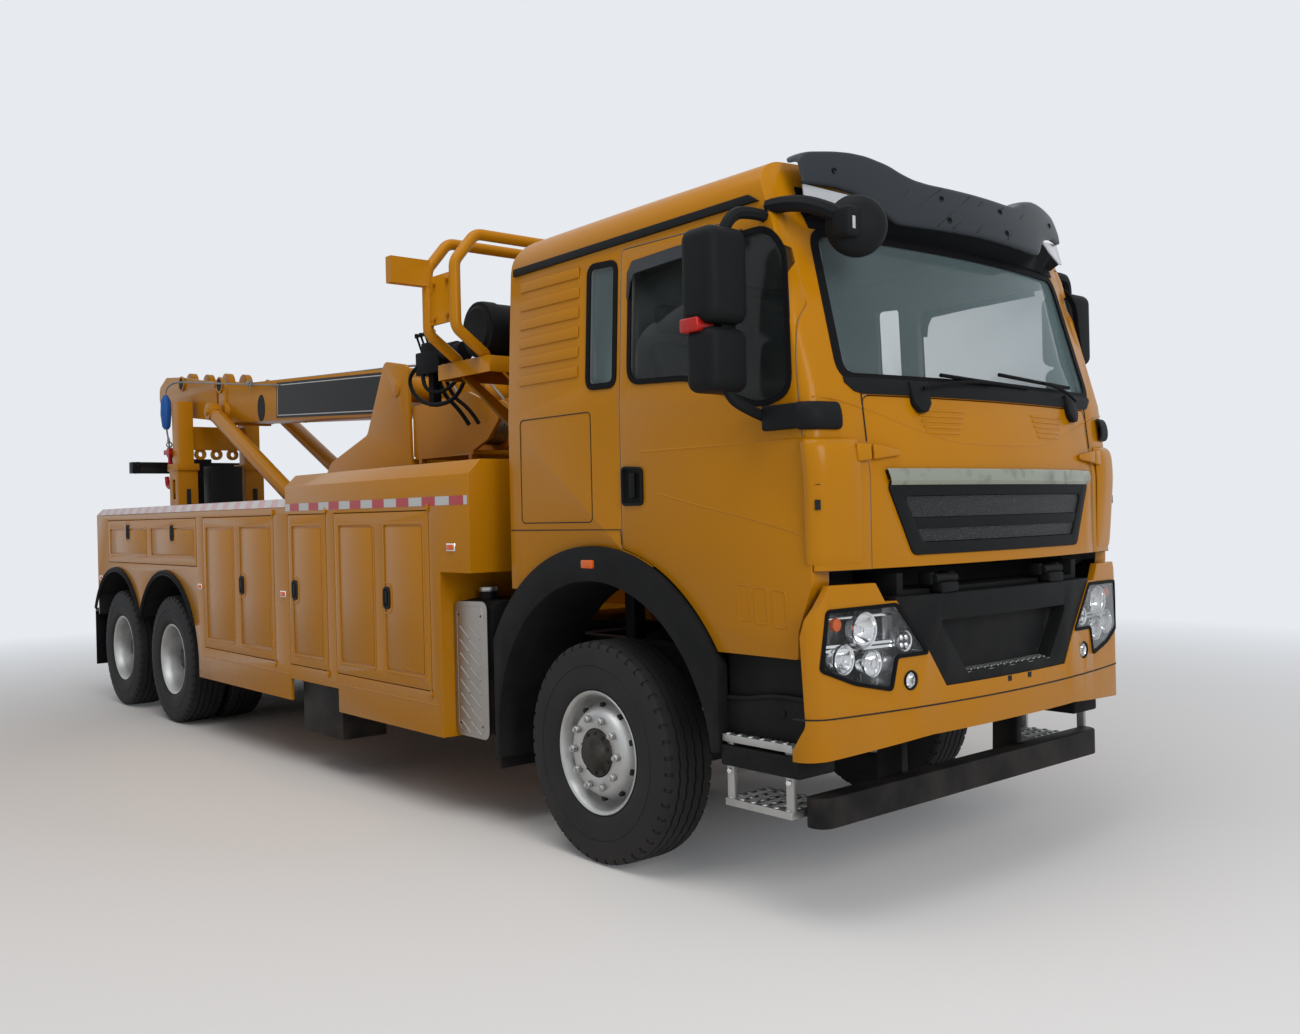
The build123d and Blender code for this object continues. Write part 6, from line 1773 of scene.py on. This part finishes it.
def head_shapes():
    """The rope over each side of the boom's head with its knot, and the head's rings with painted shade in
    their openings.
    """
    openings, rings = [], []
    for side, sign in SIDES.items():
        y = sign * HEAD_ROPE_Y
        line = path((-8.245, sign * HOOK_Y, 3.052), (-8.250, sign * 0.400, 3.12),
                    (-8.29, sign * 0.32, 3.185), (-8.15, y, 3.190), (-7.20, y, 3.080), (-6.37, y, 2.990),
                    (-5.75, sign * 0.225, 2.925))
        rope = rod("rope", line, ROPE_RADIUS, 8)
        knot = [rod("knot", path((-6.40, y, 2.975), (-6.37, y - sign * 0.02, 3.02), (-6.33, y, 3.03),
                                 (-6.34, y - sign * 0.02, 2.98)), 0.012, 8),
                rod("knot", path((-6.42, y, 3.02), (-6.38, y - sign * 0.02, 2.98), (-6.32, y, 2.965)),
                    0.012, 8)]
        gathered(f"head_rope_{side}", [rope] + knot, rope_steel, "boom_tip")
        # Painted shade: a near-black disc inside each ring for the opening
        for x, z in ((-8.221, 3.175), (-7.149, 3.061)):
            openings.append(drum("opening", at(x, sign * 0.2455, z), 0.066, 0.006, "Y", 32))
            rings.append(turned("ring", at(x, sign * 0.246, z),
                                [(-0.006, 0.064), (-0.006, 0.080), (0.010, 0.080), (0.010, 0.064)], 32))
    gathered("head_openings", openings, seams_and_painted_shade, "boom_tip")
    gathered("head_rings", rings, gear_paint, "boom_tip")


def underlift_shapes():
    """Bolts of the columns with painted shade in their slots, the crossbar's end bands and the tail lamps'
    lenses.
    """
    bolts = []
    for sign in (-1, 1):
        for z in (1.20, 1.45, 1.70, 1.90):
            for y in (0.275, 0.425):
                bolts.append(hex_nut("bolt", at(-8.055, sign * y, z), 0.024, 0.012, "X"))
    gathered("column_bolts", bolts, gear_paint)
    # Painted shade: near-black strips in the columns' slots
    rails = [soft_block("rail", (-7.787, sign * 0.35 - 0.02, 1.10), (-7.770, sign * 0.35 + 0.02, 2.05),
                        0.003) for sign in (-1, 1)]
    gathered("column_slots", rails, seams_and_painted_shade)
    ends = [soft_block("end", (-8.758, sign * 0.560, 2.243), (-8.642, sign * 0.590, 2.367), 0.004)
            for sign in (-1, 1)]
    gathered("crossbar_bands", ends, chassis_paint, "crossbar")
    lamps = []
    for sign in (-1, 1):
        for y in (0.620, 0.800, 1.000):
            lamps.append(turned("lens", at(-7.868, sign * y, 0.960),
                                [(0.0, 0), (0.0, 0.058), (-0.008, 0.054), (-0.012, 0.030), (-0.013, 0)], 32,
                                "X"))
    gathered("tail_lenses", lamps, red_lens)


def hook_shapes():
    """The hooks moved to where the picture has them, their ropes' blue sleeves and the chains between."""
    for vertex in bpy.data.objects["tow_hooks_skin"].data.vertices:
        vertex.co.y += HOOK_SHIFT if vertex.co.y > 0 else -HOOK_SHIFT
    for side, sign in SIDES.items():
        y = sign * HOOK_Y
        profile = [(0.0, 0.0), (0.0, 0.022), (0.03, 0.042), (0.16, 0.056), (0.30, 0.050), (0.36, 0.022),
                   (0.36, 0.0)]
        sleeve = turned(f"rope_sleeve_{side}", (0, 0, 0), profile, 24, "X")
        sleeve.data.transform(Matrix.Translation(at(-8.245, y, 2.690)) @ Matrix.Rotation(radians(-90), 4,
                                                                                         "Y"))
        finished(sleeve, sleeve_paint)
        rope = rod("rope", path((-8.145, y, 2.465), (-8.195, y, 2.58), (-8.240, y, 2.70)), ROPE_RADIUS, 8)
        links = [torus(at(-8.150 - 0.018 * i, y, 2.480 + 0.045 * i), 0.027, 0.007, 20, 8,
                       (pi / 2, 0, pi / 2 * i)) for i in range(3)]
        gathered(f"hook_rope_{side}", [rope] + links, rope_steel)


def dress_the_nodes():
    """Each CAD node's own finish and softened edges."""
    soft = {body_paint: {"cab_shell": 0.004, "front_flap": 0.003, "bumper": 0.006, "lockers_right": 0.004,
                         "lockers_left": 0.004, "deck": 0.003,
                         **{f"cab_door_{side}": 0.004 for side in SIDES},
                         **{f"{door}_{side}": 0.003 for side in SIDES for door in PANELS}},
            gear_paint: {"mast_frame": 0.005, "winches": 0.003, "guard_frame": 0.003, "boom_outer": 0.006,
                         "boom_inner": 0.004, "lift_barrels": 0.004, "lift_rods": 0.002,
                         "underlift_columns": 0.004},
            chassis_paint: {"chassis_frame": 0.003, "hydraulics": 0.006, "underrun_beam": 0.008,
                            "tank_and_boxes": 0.004, "underlift_carriage": 0.004, "stinger_outer": 0.004,
                            "stinger_tip": 0.003, "crossbar": 0.004},
            black_plastic: {"wheel_arches": 0.004, "lower_grille": 0.006, "upper_grille": 0.003},
            cast_iron: {"drive_line": 0.004, "knuckle_left": 0.003, "knuckle_right": 0.003},
            step_aluminium: {"steps": 0.002}, hook_paint: {"tow_hooks": 0.0},
            windscreen_glass: {"cab_glass": 0.0},
            side_window_glass: {"door_glass_right": 0.0, "door_glass_left": 0.0}}
    for finish, group in soft.items():
        for node, width in group.items():
            refined(node, finish, width)


def hide_behind(node):
    """Let a scene piece stand for a CAD node."""
    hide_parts(node)


place_camera()
light_the_studio()
lay_the_floor()
dress_the_nodes()
for side, sign in SIDES.items():
    front_wheel_shapes(side, sign)
    for axle in REAR_AXLES:
        twin_wheel_shapes(axle, side, sign)
for group in (sleeper_shapes, door_shapes, cab_corner_shapes, corner_trim_shapes, mirror_shapes,
              headlamp_shapes, fog_lamp_shapes, step_shapes, locker_shapes, marker_shapes, body_edge_shapes):
    both_sides(group)
for side in SIDES:
    hide_behind(f"mirror_{side}")
flap_shapes()
upper_grille_shapes()
wiper_shapes()
windscreen_edges()
cab_linings()
lamp_glasses()
visor_shapes()
close_mirror()
seat_shapes()
dashboard_shapes()
hide_behind("cab_trim")
bumper_shapes()
lower_grille_shapes()
tank_shapes()
hoop_bolts()
valve_shapes()
air_cleaner_drum()
hose_shapes()
air_cleaner_bands()
board_shapes()
rope_shapes()
head_shapes()
underlift_shapes()
hook_shapes()
